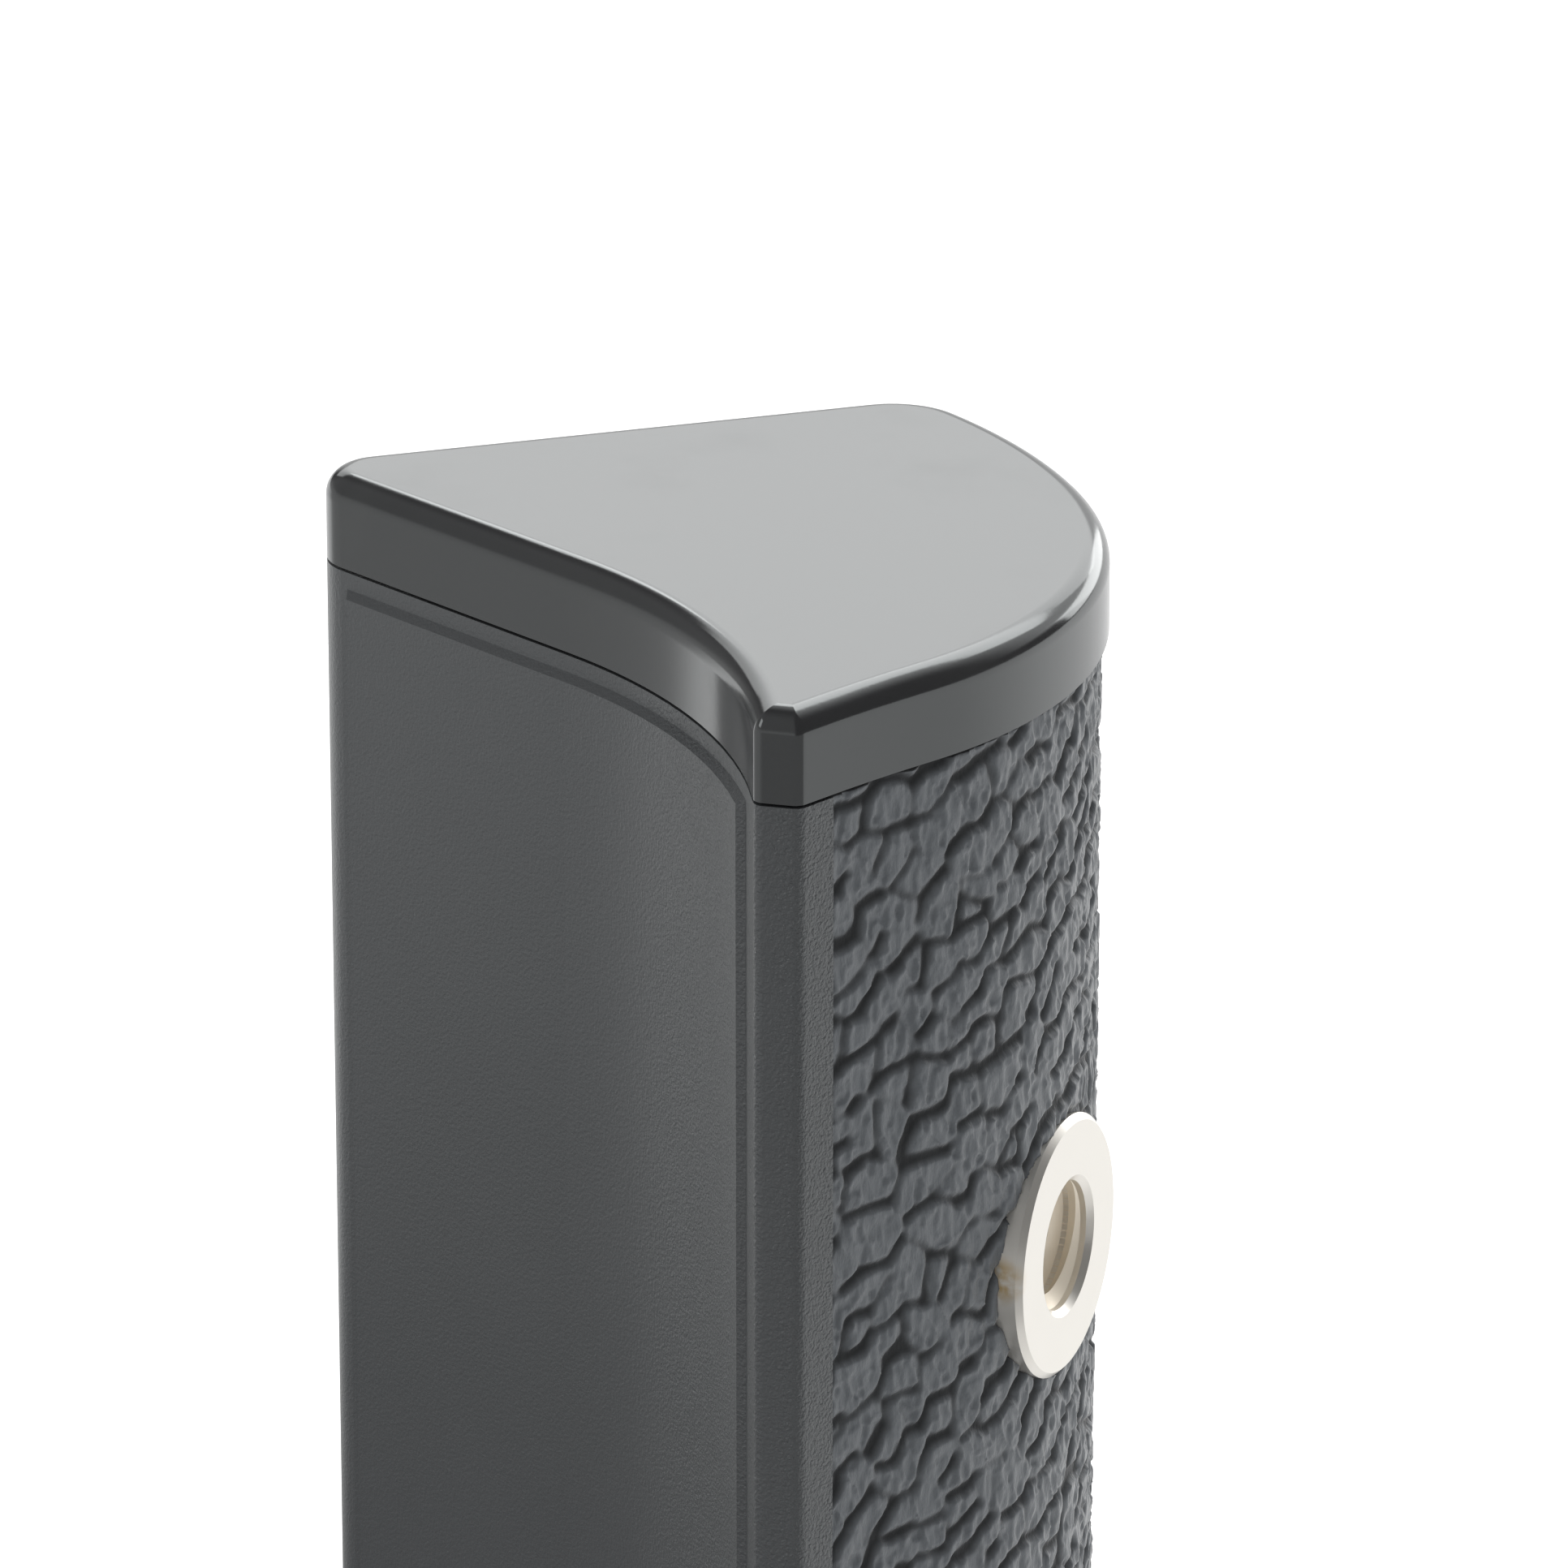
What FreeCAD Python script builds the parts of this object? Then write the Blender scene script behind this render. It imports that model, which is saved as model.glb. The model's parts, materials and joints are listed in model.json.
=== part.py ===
"""Camera hand grip: a cast body with a flat back, a hollow finger side and a leather palm side,
closed by two metal end caps, with a threaded bush in the palm and a captive screw in the back.

Millimetres. x = 0 and z = 0 on the axis of the captive camera screw. The nose of the grip points
to -y, the palm side to +x, and the plain end cap is at +z. The pieces are drawn with y = 0 on the
back face of the casting, and moved at the end so that y = 0 is the face of the soft pad, which
stands a little proud of it and is what meets the camera.
"""
import FreeCAD, Part
import math
import os

V = FreeCAD.Vector

# Overall size
GRIP_HEIGHT = 96.0
GRIP_DEPTH = 41.2
CAP_THICKNESS = 4.5
CAP_ROUND = 1.3
CAP_ROUND_STEPS = 4
PARTING_GAP = 0.15

# Plan outline, with sharp corners that are rounded afterwards
BACK_LEFT = 22.2
BACK_RIGHT = 10.5
NOSE_LEFT = 8.9
NOSE_FACET = 2.2
NOSE_FACET_ANGLE = 32.0
FINGER_FLAT = 20.7
FINGER_ANGLE = 64.2
PALM_FLAT = 8.45
PALM_FLAT_ANGLE = 26.0
PALM_REACH = 13.8
PALM_WIDEST = 26.5  # behind the nose
ROUND_LEFT_REAR = 2.7
ROUND_RIGHT_REAR = 4.4
ROUND_NOSE_TIP = 2.0
ROUND_NOSE_SIDE = 1.4

# Cast body
WALL = 3.2
BACK_WALL = 4.0
SPIGOT = 1.35
SPIGOT_CLEARANCE = 0.1
PANEL_PROUD = 0.4
PANEL_BEVEL = 0.34
PANEL_TOP_RIM = 0.85
PANEL_REAR_RIM = 4.3
PANEL_NOSE_RIM = 3.0

# Leather on the palm side
LEATHER = 0.9
LEATHER_BELOW_CAP = 0.3
GLUE = 0.05
LEATHER_START = 2.2
LEATHER_END = 10.0
LEATHER_GAP = 0.12

# Threaded bush in the palm side, quarter inch camera thread
THREAD_RADIUS = 3.175
BUSH_DROP = 33.0
BUSH_ANGLE = 39.6
FLANGE_RADIUS = 6.45
FLANGE = 1.8
FLANGE_PROUD = 0.2
FLANGE_CHAMFER = 0.3
BARREL_RADIUS = 4.7
BARREL = 9.2
BUSH_FLOOR = 1.2
BOSS_RADIUS = 8.2
BOSS = 4.0
BUSH_WASHER = 0.6
BUSH_NUT = 2.4
BUSH_NUT_FLATS = 13.0
SEAT_CLEARANCE = 0.12

# Tie bolts that pull the two caps together
BOLT_RADIUS = 1.5
BOLT_HEAD_RADIUS = 2.75
BOLT_HEAD = 3.0
BOLT_COUNTERBORE = 3.2
BOLT_BITE = 2.4
BOLT_WALL = 0.1
BOLT_FROM_REAR = 15.5
NOSE_BOLT_HEADING = 62.0
NOSE_BOLT_SHARE = 1.8
PALM_BOLT_HEADING = -155.0
PALM_BOLT_SHARE = 1.2
HOLE_CLEARANCE = 0.2
HEX_SHARE = 0.5

# Back plate and its facing
PLATE_LEFT = 17.0
PLATE_RIGHT = 7.3
PLATE_HEIGHT = 77.0
PLATE = 2.0
PLATE_CORNER = 3.0
PLATE_CLEARANCE = 0.1
LEDGE = 1.6
PAD = 0.8
PAD_PROUD = 0.4
PAD_MARGIN = 0.3
PAD_HOLE_MARGIN = 1.2
PLATE_SCREW_RADIUS = 1.25
PLATE_SCREW_HEAD = 2.4
PLATE_SCREW_HEAD_HEIGHT = 1.2
PLATE_SCREW_LENGTH = 7.0
PLATE_SCREW_SOCKET = 1.7
PLATE_SCREW_SOCKET_DEPTH = 0.7
PLATE_SCREW_CLEARANCE = 0.05
PLATE_SCREW_INSET = 3.0
PLATE_POST_RADIUS = 2.9
SCREW_RUNOUT = 0.6
PIN_RADIUS = 2.0
PIN_SHANK_RADIUS = 1.4
PIN_PROUD = 2.0
PIN_SPREAD = 60.0

# Captive camera screw, its thumb wheel and the bridge that carries its inner end
SCREW_PROUD = 4.5
NECK_RADIUS = 2.9
NECK_DEPTH = 0.3
RUN_CLEARANCE = 0.06
WAVE_WASHER = 0.5
COLLAR_RADIUS = 5.0
COLLAR = 1.0
WHEEL_RADIUS = 13.6
WHEEL = 4.0
WHEEL_BORE = 3.5
WHEEL_GROOVES = 30
GROOVE_DEPTH = 0.55
WHEEL_CHAMFER = 0.7
HUB_RADIUS = 5.5
HUB = 3.0
WHEEL_POCKET_CLEARANCE = 0.4
CROSS_PIN_RADIUS = 0.75
JOURNAL_RADIUS = 2.5
BRIDGE = 1.5
BRIDGE_WIDTH = 8.6
BRIDGE_FOOT = 6.3
BRIDGE_WHEEL_GAP = 1.6
BRIDGE_BEND = 1.0
BUSHING_WALL = 1.2
BUSHING_FLANGE = 0.4
BUSHING_FLANGE_RADIUS = 4.8
CLIP = 0.6
CLIP_RADIUS = 4.3
CLIP_GROOVE = 0.5
SCREW_TAIL = 0.6
CHAMFER = 0.4

# Two pieces of geometry closer than this meet, and an edge whose direction has a share of an axis
# over this one runs along it
TOUCH = 1e-4
ALONG = 0.99


def turned(vector, angle):
    cos, sin = math.cos(angle), math.sin(angle)
    return V(vector.x * cos - vector.y * sin, vector.x * sin + vector.y * cos, 0)


def heading(degrees):
    return V(math.cos(math.radians(degrees)), math.sin(math.radians(degrees)), 0)


def arc_leaving(start, direction, end):
    """The arc that leaves start along direction and ends at end, its arrival direction and centre."""
    chord = end - start
    side = V(-direction.y, direction.x, 0)
    half_turn = math.atan2(chord.dot(side), chord.dot(direction))
    centre = start + side * (chord.dot(chord) / (2 * chord.dot(side)))
    middle = centre + turned(start - centre, half_turn)
    return Part.Arc(start, middle, end), turned(direction, 2 * half_turn), centre


# Corners of the plan outline
left_rear = V(-BACK_LEFT, 0, 0)
right_rear = V(BACK_RIGHT, 0, 0)
nose_tip = V(-NOSE_LEFT, -GRIP_DEPTH, 0)
nose_side = nose_tip + heading(180 - NOSE_FACET_ANGLE) * NOSE_FACET
finger_bend = left_rear + heading(-FINGER_ANGLE) * FINGER_FLAT
palm_front = nose_tip + heading(PALM_FLAT_ANGLE) * PALM_FLAT
palm_widest = V(PALM_REACH, PALM_WIDEST - GRIP_DEPTH, 0)
corners = [
    (left_rear, ROUND_LEFT_REAR),
    (right_rear, ROUND_RIGHT_REAR),
    (nose_tip, ROUND_NOSE_TIP),
    (nose_side, ROUND_NOSE_SIDE),
]

# Heights
cap_under = GRIP_HEIGHT / 2 - CAP_THICKNESS
body_top = cap_under - PARTING_GAP
spigot_end = cap_under - SPIGOT


def outline():
    """The sharp plan outline: straight back, hollow finger side, nose facet and bulging palm side."""
    finger, _, _ = arc_leaving(finger_bend, heading(-FINGER_ANGLE), nose_side)
    palm, palm_tangent, _ = arc_leaving(palm_widest, V(0, -1, 0), palm_front)
    palm_flat, _, _ = arc_leaving(palm_front, palm_tangent, nose_tip)
    palm_rear, _, _ = arc_leaving(palm_widest, V(0, 1, 0), right_rear)
    curves = [
        Part.LineSegment(right_rear, left_rear),
        Part.LineSegment(left_rear, finger_bend),
        finger,
        Part.LineSegment(nose_side, nose_tip),
        palm_flat,
        palm,
        palm_rear,
    ]
    return Part.Wire(Part.__sortEdges__([curve.toShape() for curve in curves]))


def rounded_outline():
    """The plan outline as a face at z = 0, with its corners rounded."""
    block = Part.Face(outline()).extrude(V(0, 0, 1))
    for corner, radius in corners:
        middle = corner + V(0, 0, 0.5)
        upright = min(block.Edges, key=lambda edge: edge.CenterOfMass.distanceToPoint(middle))
        block = block.makeFillet(radius, [upright])
    floor = min(block.Faces, key=lambda face: face.CenterOfMass.z)
    return Part.Face(floor.OuterWire)


plan = rounded_outline()


def plan_face(inset, height):
    """The rounded plan outline, moved inwards by inset, at a height."""
    face = plan.makeOffset2D(-inset) if inset else plan.copy()
    face.translate(V(0, 0, height))
    return face


def prism(inset, low, high):
    return plan_face(inset, low).extrude(V(0, 0, high - low))


def hollow(gap, low, high):
    """The hollow of the casting, which is open at both ends, drawn in by gap all round."""
    front = -BACK_WALL - gap
    length = BACK_LEFT + BACK_RIGHT
    rear_block = Part.makeBox(2 * length, -front, high - low, V(-length, front, low))
    return prism(WALL + gap, low, high).cut(rear_block)


def along(shape, origin, direction):
    """A shape modelled on +z, moved so that its axis leaves origin along direction."""
    placed = shape.copy()
    placed.Placement = FreeCAD.Placement(origin, FreeCAD.Rotation(V(0, 0, 1), direction))
    return placed


def rod(radius, start, direction, length):
    return Part.makeCylinder(radius, length, start, direction)


def turned_part(profile):
    """A solid of revolution about +z from (radius, height) points."""
    points = [V(radius, 0, height) for radius, height in profile]
    face = Part.Face(Part.makePolygon(points + [points[0]]))
    return face.revolve(V(0, 0, 0), V(0, 0, 1), 360)


def hexagon(flats, height):
    points = [V(math.cos(math.radians(60 * i)), math.sin(math.radians(60 * i)), 0) for i in range(7)]
    across = flats / math.sqrt(3)
    return Part.Face(Part.makePolygon([point * across for point in points])).extrude(V(0, 0, height))


def plan_block(points, low, high):
    polygon = Part.makePolygon([V(point.x, point.y, low) for point in points + [points[0]]])
    return Part.Face(polygon).extrude(V(0, 0, high - low))


def rounded_plate(left, right, height, corner, front, thickness):
    """A plate in the xz plane with round corners, from y = front inwards."""
    plate = Part.makeBox(right - left, thickness, height, V(left, front - thickness, -height / 2))
    upright = [edge for edge in plate.Edges if abs(edge.tangentAt(edge.FirstParameter).y) > ALONG]
    return plate.makeFillet(corner, upright)


# Palm side: where the leather lies and where the bush goes
_, palm_tangent, palm_centre = arc_leaving(palm_widest, V(0, -1, 0), palm_front)
palm_radius = palm_widest.distanceToPoint(palm_centre)
bush_direction = heading(-BUSH_ANGLE)
bush_height = GRIP_HEIGHT / 2 - BUSH_DROP
bush_surface = palm_centre + bush_direction * (palm_radius - LEATHER_BELOW_CAP) + V(0, 0, bush_height)
flange_seat = bush_surface + bush_direction * (FLANGE_PROUD - FLANGE)
boss_inner = flange_seat - bush_direction * BOSS


def leather_block(gap, low, high):
    """The space on the palm side that the leather takes in plan, drawn in by gap at both ends."""
    start = nose_tip + heading(PALM_FLAT_ANGLE) * (LEATHER_START + gap)
    outwards = heading(PALM_FLAT_ANGLE - 90)
    rear = -LEATHER_END - gap
    points = [
        start - outwards * WALL,
        start + outwards * WALL,
        V(palm_widest.x + WALL, nose_tip.y - WALL, 0),
        V(palm_widest.x + WALL, rear, 0),
        V(0, rear, 0),
    ]
    return plan_block(points, low, high)


# Back: rebate for the plate, camera screw stations from the back face inwards
plate_front = PAD_PROUD - PAD
plate_inner = plate_front - PLATE
collar_front = plate_inner - WAVE_WASHER
wheel_front = collar_front - COLLAR
hub_front = wheel_front - WHEEL
hub_end = hub_front - HUB
bridge_front = hub_end - BUSHING_FLANGE
bridge_back = bridge_front - BRIDGE
clip_front = bridge_back - RUN_CLEARANCE
screw_end = clip_front - CLIP - SCREW_TAIL
plate_screw_places = [
    V((PLATE_RIGHT - PLATE_LEFT) / 2, 0, side * (PLATE_HEIGHT / 2 - PLATE_SCREW_INSET))
    for side in (-1, 1)
]
pin_places = [V(0, 0, -PIN_SPREAD / 2), V(0, 0, PIN_SPREAD / 2)]
inwards = V(0, -1, 0)
leg_inner = WHEEL_RADIUS + BRIDGE_WHEEL_GAP
foot_middle = leg_inner + BRIDGE + BRIDGE_FOOT / 2

# Tie bolts: in the nose, in the palm side and beside the finger side
bolt_inset = WALL + SPIGOT_CLEARANCE + BOLT_RADIUS + HOLE_CLEARANCE + BOLT_WALL
bolt_places = [
    nose_tip + heading(NOSE_BOLT_HEADING) * (NOSE_BOLT_SHARE * bolt_inset),
    palm_widest + heading(PALM_BOLT_HEADING) * (PALM_BOLT_SHARE * bolt_inset),
    left_rear + heading(-FINGER_ANGLE) * BOLT_FROM_REAR + heading(90 - FINGER_ANGLE) * bolt_inset,
]


def finger_panel():
    """The raised panel that the fingertips find. Its four sides slope, and it reaches into the wall."""
    half = body_top - PANEL_TOP_RIM
    stations = [
        (-PANEL_PROUD, -half - PANEL_BEVEL),
        (PANEL_PROUD, PANEL_BEVEL - half),
        (PANEL_PROUD, half - PANEL_BEVEL),
        (-PANEL_PROUD, half + PANEL_BEVEL),
    ]
    panel = Part.makeLoft([plan_face(-proud, height).Faces[0].OuterWire for proud, height in stations],
                          True, True)
    # foot of each sloping end on the finger side: its place, the way out and the way along the panel
    rear = left_rear + heading(-FINGER_ANGLE) * (PANEL_REAR_RIM / math.sin(math.radians(FINGER_ANGLE)))
    rear_slope = heading(-FINGER_ANGLE - 90) * PANEL_PROUD + heading(-FINGER_ANGLE) * PANEL_BEVEL
    _, _, centre = arc_leaving(finger_bend, heading(-FINGER_ANGLE), nose_side)
    radius = finger_bend.distanceToPoint(centre)
    angle = math.degrees(math.asin((nose_side.y + PANEL_NOSE_RIM - centre.y) / radius))
    nose = centre + heading(angle) * radius
    nose_slope = heading(angle + 180) * PANEL_PROUD + heading(angle + 90) * PANEL_BEVEL
    reach = WALL / 2 / PANEL_PROUD
    left, right = left_rear.x - WALL, nose_side.x + WALL
    ends = [
        rear - rear_slope * reach,
        rear + rear_slope * reach,
        V(left, (rear + rear_slope * reach).y, 0),
        V(left, (nose + nose_slope * reach).y, 0),
        nose + nose_slope * reach,
        nose - nose_slope * reach,
        V(right, (nose - nose_slope * reach).y, 0),
        V(right, (rear - rear_slope * reach).y, 0),
    ]
    return panel.common(plan_block(ends, -body_top, body_top))


def make_body():
    body = prism(0, -body_top, body_top).fuse(finger_panel())
    body = body.cut(hollow(0, -body_top, body_top))
    # posts for the plate screws and the boss behind the bush, kept inside the outer skin
    additions = [
        rod(PLATE_POST_RADIUS, place + inwards * (-plate_inner), inwards, PLATE_SCREW_LENGTH)
        for place in plate_screw_places
    ]
    additions.append(rod(BOSS_RADIUS, boss_inner, bush_direction, BOSS + FLANGE))
    skin = prism(LEATHER_BELOW_CAP + LEATHER + GLUE, -body_top, body_top)
    for addition in additions:
        body = body.fuse(addition.common(skin))
    body = body.cut(leather_block(0, -body_top, body_top).cut(skin))
    # bush seat and its hole
    body = body.cut(rod(FLANGE_RADIUS + SEAT_CLEARANCE, flange_seat, bush_direction, 2 * FLANGE))
    body = body.cut(rod(BARREL_RADIUS + SEAT_CLEARANCE, boss_inner - bush_direction * BUSH_WASHER,
                        bush_direction, BUSH_WASHER + BOSS + FLANGE))
    # rebate, window and post holes of the back
    rebate = rounded_plate(-PLATE_LEFT, PLATE_RIGHT, PLATE_HEIGHT, PLATE_CORNER, 0, -plate_inner)
    window = rounded_plate(-PLATE_LEFT + LEDGE, PLATE_RIGHT - LEDGE, PLATE_HEIGHT - 2 * LEDGE,
                           PLATE_CORNER - LEDGE / 2, plate_inner, BACK_WALL + plate_inner)
    for place in plate_screw_places:
        window = window.cut(rod(PLATE_POST_RADIUS, place, inwards, BACK_WALL))
    body = body.cut(rebate).cut(window)
    for place in plate_screw_places:
        body = body.cut(rod(PLATE_SCREW_RADIUS, place, inwards,
                            PLATE_SCREW_LENGTH + SCREW_RUNOUT - plate_front))
    # room for the collar, and the pocket that lets the rim of the thumb wheel out
    body = body.cut(rod(COLLAR_RADIUS + WHEEL_POCKET_CLEARANCE, V(0, plate_inner, 0), inwards,
                        BACK_WALL + plate_inner))
    pocket = rod(WHEEL_RADIUS + WHEEL_POCKET_CLEARANCE, V(0, wheel_front + WHEEL_POCKET_CLEARANCE, 0),
                 inwards, WHEEL + 2 * WHEEL_POCKET_CLEARANCE)
    return body.cut(pocket)


def make_cap():
    """The upper end cap: a thick plate with a round upper edge, in a few flats, and a spigot below."""
    wires = [plan_face(0, cap_under).OuterWire]
    for i in range(CAP_ROUND_STEPS + 1):
        angle = math.pi / 2 * i / CAP_ROUND_STEPS
        height = GRIP_HEIGHT / 2 - CAP_ROUND * (1 - math.sin(angle))
        wires.append(plan_face(CAP_ROUND * (1 - math.cos(angle)), height).Faces[0].OuterWire)
    cap = Part.makeLoft(wires, True, True)
    return cap.fuse(hollow(SPIGOT_CLEARANCE, spigot_end, cap_under))


def make_top_cap():
    cap = make_cap()
    for place in bolt_places:
        cap = cap.cut(rod(BOLT_RADIUS, place + V(0, 0, spigot_end), V(0, 0, 1), SPIGOT + BOLT_BITE))
    return cap


def make_bottom_cap():
    cap = make_cap().mirror(V(0, 0, 0), V(0, 0, 1))
    floor = -GRIP_HEIGHT / 2
    for place in bolt_places:
        cap = cap.cut(rod(BOLT_RADIUS + HOLE_CLEARANCE, place + V(0, 0, floor), V(0, 0, 1),
                          CAP_THICKNESS + SPIGOT))
        cap = cap.cut(rod(BOLT_HEAD_RADIUS + HOLE_CLEARANCE, place + V(0, 0, floor), V(0, 0, 1),
                          BOLT_COUNTERBORE))
    return cap


def make_tie_bolts():
    head_seat = -GRIP_HEIGHT / 2 + BOLT_COUNTERBORE
    top = cap_under + BOLT_BITE
    bolt = rod(BOLT_RADIUS, V(0, 0, head_seat), V(0, 0, 1), top - head_seat)
    bolt = bolt.fuse(rod(BOLT_HEAD_RADIUS, V(0, 0, head_seat - BOLT_HEAD), V(0, 0, 1), BOLT_HEAD))
    socket = hexagon(2 * BOLT_HEAD_RADIUS * HEX_SHARE, BOLT_HEAD * HEX_SHARE)
    bolt = bolt.cut(along(socket, V(0, 0, head_seat - BOLT_HEAD), V(0, 0, 1)))
    return Part.makeCompound([along(bolt, place, V(0, 0, 1)) for place in bolt_places])


def make_leather():
    outer = prism(LEATHER_BELOW_CAP, -body_top, body_top)
    inner = prism(LEATHER_BELOW_CAP + LEATHER, -body_top, body_top)
    leather = outer.cut(inner).common(leather_block(LEATHER_GAP, -body_top, body_top))
    return leather.cut(rod(FLANGE_RADIUS + SEAT_CLEARANCE, flange_seat, bush_direction, 2 * FLANGE))


def make_accessory_bush():
    """Flanged bush with a blind threaded bore, modelled with its mouth up."""
    bush = turned_part([
        (0, -BARREL),
        (BARREL_RADIUS, -BARREL),
        (BARREL_RADIUS, 0),
        (FLANGE_RADIUS, 0),
        (FLANGE_RADIUS, FLANGE - FLANGE_CHAMFER),
        (FLANGE_RADIUS - FLANGE_CHAMFER, FLANGE),
        (THREAD_RADIUS + FLANGE_CHAMFER, FLANGE),
        (THREAD_RADIUS, FLANGE - FLANGE_CHAMFER),
        (THREAD_RADIUS, BUSH_FLOOR - BARREL),
        (0, BUSH_FLOOR - BARREL),
    ])
    return along(bush, flange_seat, bush_direction)


def make_bush_washer():
    ring = turned_part([
        (BARREL_RADIUS + SEAT_CLEARANCE, 0),
        (BUSH_NUT_FLATS / 2, 0),
        (BUSH_NUT_FLATS / 2, BUSH_WASHER),
        (BARREL_RADIUS + SEAT_CLEARANCE, BUSH_WASHER),
    ])
    return along(ring, boss_inner, bush_direction * -1)


def make_bush_nut():
    nut = hexagon(BUSH_NUT_FLATS, BUSH_NUT)
    nut = nut.cut(rod(BARREL_RADIUS, V(0, 0, 0), V(0, 0, 1), BUSH_NUT))
    return along(nut, boss_inner - bush_direction * BUSH_WASHER, bush_direction * -1)


def make_back_plate():
    plate = rounded_plate(-PLATE_LEFT + PLATE_CLEARANCE, PLATE_RIGHT - PLATE_CLEARANCE,
                          PLATE_HEIGHT - 2 * PLATE_CLEARANCE, PLATE_CORNER - PLATE_CLEARANCE,
                          plate_front, PLATE)
    plate = plate.cut(rod(THREAD_RADIUS + RUN_CLEARANCE, V(0, 0, 0), inwards, BACK_WALL))
    for place in pin_places:
        plate = plate.cut(rod(PIN_SHANK_RADIUS, place, inwards, BACK_WALL))
    for side in (-1, 1):
        plate = plate.cut(rod(PLATE_SCREW_RADIUS, V(0, 0, side * foot_middle), inwards, BACK_WALL))
    for place in plate_screw_places:
        plate = plate.cut(along(flush_screw(PLATE_SCREW_CLEARANCE), place + V(0, plate_front, 0), inwards))
    return plate


def flush_screw(clearance):
    """A screw with a low round head, head face at z = 0 and shank along +z."""
    return turned_part([
        (0, 0),
        (PLATE_SCREW_HEAD + clearance, 0),
        (PLATE_SCREW_HEAD + clearance, PLATE_SCREW_HEAD_HEIGHT),
        (PLATE_SCREW_RADIUS + clearance, PLATE_SCREW_HEAD_HEIGHT),
        (PLATE_SCREW_RADIUS + clearance, PLATE_SCREW_LENGTH),
        (0, PLATE_SCREW_LENGTH),
    ])


def make_plate_screws():
    screw = flush_screw(0).cut(hexagon(PLATE_SCREW_SOCKET, PLATE_SCREW_SOCKET_DEPTH))
    return Part.makeCompound([
        along(screw, place + V(0, plate_front, 0), inwards) for place in plate_screw_places
    ])


def make_back_pad():
    inset = PLATE_CLEARANCE + PAD_MARGIN
    pad = rounded_plate(-PLATE_LEFT + inset, PLATE_RIGHT - inset, PLATE_HEIGHT - 2 * inset,
                        PLATE_CORNER - inset, PAD_PROUD, PAD)
    pad = pad.cut(rod(THREAD_RADIUS + PAD_HOLE_MARGIN, V(0, PAD_PROUD, 0), inwards, PAD))
    for place in pin_places:
        pad = pad.cut(rod(PIN_RADIUS + PAD_HOLE_MARGIN, place + V(0, PAD_PROUD, 0), inwards, PAD))
    return pad


def make_locating_pins():
    """Pins pressed into the plate, with a thick end that stands proud of the pad."""
    neck = PLATE + PAD - NECK_DEPTH
    length = PLATE + PAD + PIN_PROUD
    pin = turned_part([
        (0, 0),
        (PIN_SHANK_RADIUS, 0),
        (PIN_SHANK_RADIUS, neck),
        (PIN_RADIUS, neck),
        (PIN_RADIUS, length - CHAMFER),
        (PIN_RADIUS - CHAMFER, length),
        (0, length),
    ])
    return Part.makeCompound([
        along(pin, place + V(0, plate_inner, 0), V(0, 1, 0)) for place in pin_places
    ])


def make_camera_screw():
    """Captive screw: threaded end through the plate, collar, wheel seat, journal and clip groove."""
    tip = PAD_PROUD + SCREW_PROUD
    levels = [
        (0, screw_end),
        (JOURNAL_RADIUS, screw_end),
        (JOURNAL_RADIUS, clip_front - CLIP),
        (JOURNAL_RADIUS - CLIP_GROOVE, clip_front - CLIP),
        (JOURNAL_RADIUS - CLIP_GROOVE, clip_front),
        (JOURNAL_RADIUS, clip_front),
        (JOURNAL_RADIUS, hub_end),
        (WHEEL_BORE, hub_end),
        (WHEEL_BORE, wheel_front),
        (COLLAR_RADIUS, wheel_front),
        (COLLAR_RADIUS, collar_front),
        (NECK_RADIUS, collar_front),
        (NECK_RADIUS, PAD_PROUD - NECK_DEPTH),
        (THREAD_RADIUS, PAD_PROUD - NECK_DEPTH),
        (THREAD_RADIUS, tip - CHAMFER),
        (THREAD_RADIUS - CHAMFER, tip),
        (0, tip),
    ]
    screw = along(turned_part(levels), V(0, 0, 0), V(0, 1, 0))
    return screw.cut(cross_pin(HUB_RADIUS))


def cross_pin(reach):
    """The spring pin that fixes the wheel's hub to the screw."""
    return rod(CROSS_PIN_RADIUS, V(-reach, hub_front - HUB / 2, 0), V(1, 0, 0), 2 * reach)


def make_thumb_wheel():
    wheel = rod(WHEEL_RADIUS, V(0, wheel_front, 0), inwards, WHEEL)
    rim = [edge for edge in wheel.Edges if edge.Curve.TypeId == "Part::GeomCircle"]
    wheel = wheel.makeChamfer(WHEEL_CHAMFER, rim)
    wheel = wheel.fuse(rod(HUB_RADIUS, V(0, hub_front, 0), inwards, HUB))
    wheel = wheel.cut(rod(WHEEL_BORE, V(0, wheel_front, 0), inwards, WHEEL + HUB))
    # each V groove takes half of its pitch at the rim, so its sides meet the next one's beyond it
    half_pitch = math.pi * WHEEL_RADIUS / WHEEL_GROOVES
    groove = Part.Face(Part.makePolygon([
        V(WHEEL_RADIUS + GROOVE_DEPTH, wheel_front, -half_pitch),
        V(WHEEL_RADIUS + GROOVE_DEPTH, wheel_front, half_pitch),
        V(WHEEL_RADIUS - GROOVE_DEPTH, wheel_front, 0),
        V(WHEEL_RADIUS + GROOVE_DEPTH, wheel_front, -half_pitch),
    ])).extrude(inwards * WHEEL)
    grooves = []
    for i in range(WHEEL_GROOVES):
        cut = groove.copy()
        cut.rotate(V(0, 0, 0), V(0, 1, 0), 360 * i / WHEEL_GROOVES)
        grooves.append(cut)
    return wheel.cut(Part.makeCompound(grooves)).cut(cross_pin(HUB_RADIUS))


def make_wave_washer():
    ring = turned_part([
        (THREAD_RADIUS + SEAT_CLEARANCE, 0),
        (COLLAR_RADIUS, 0),
        (COLLAR_RADIUS, WAVE_WASHER),
        (THREAD_RADIUS + SEAT_CLEARANCE, WAVE_WASHER),
    ])
    return along(ring, V(0, plate_inner, 0), inwards)


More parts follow.
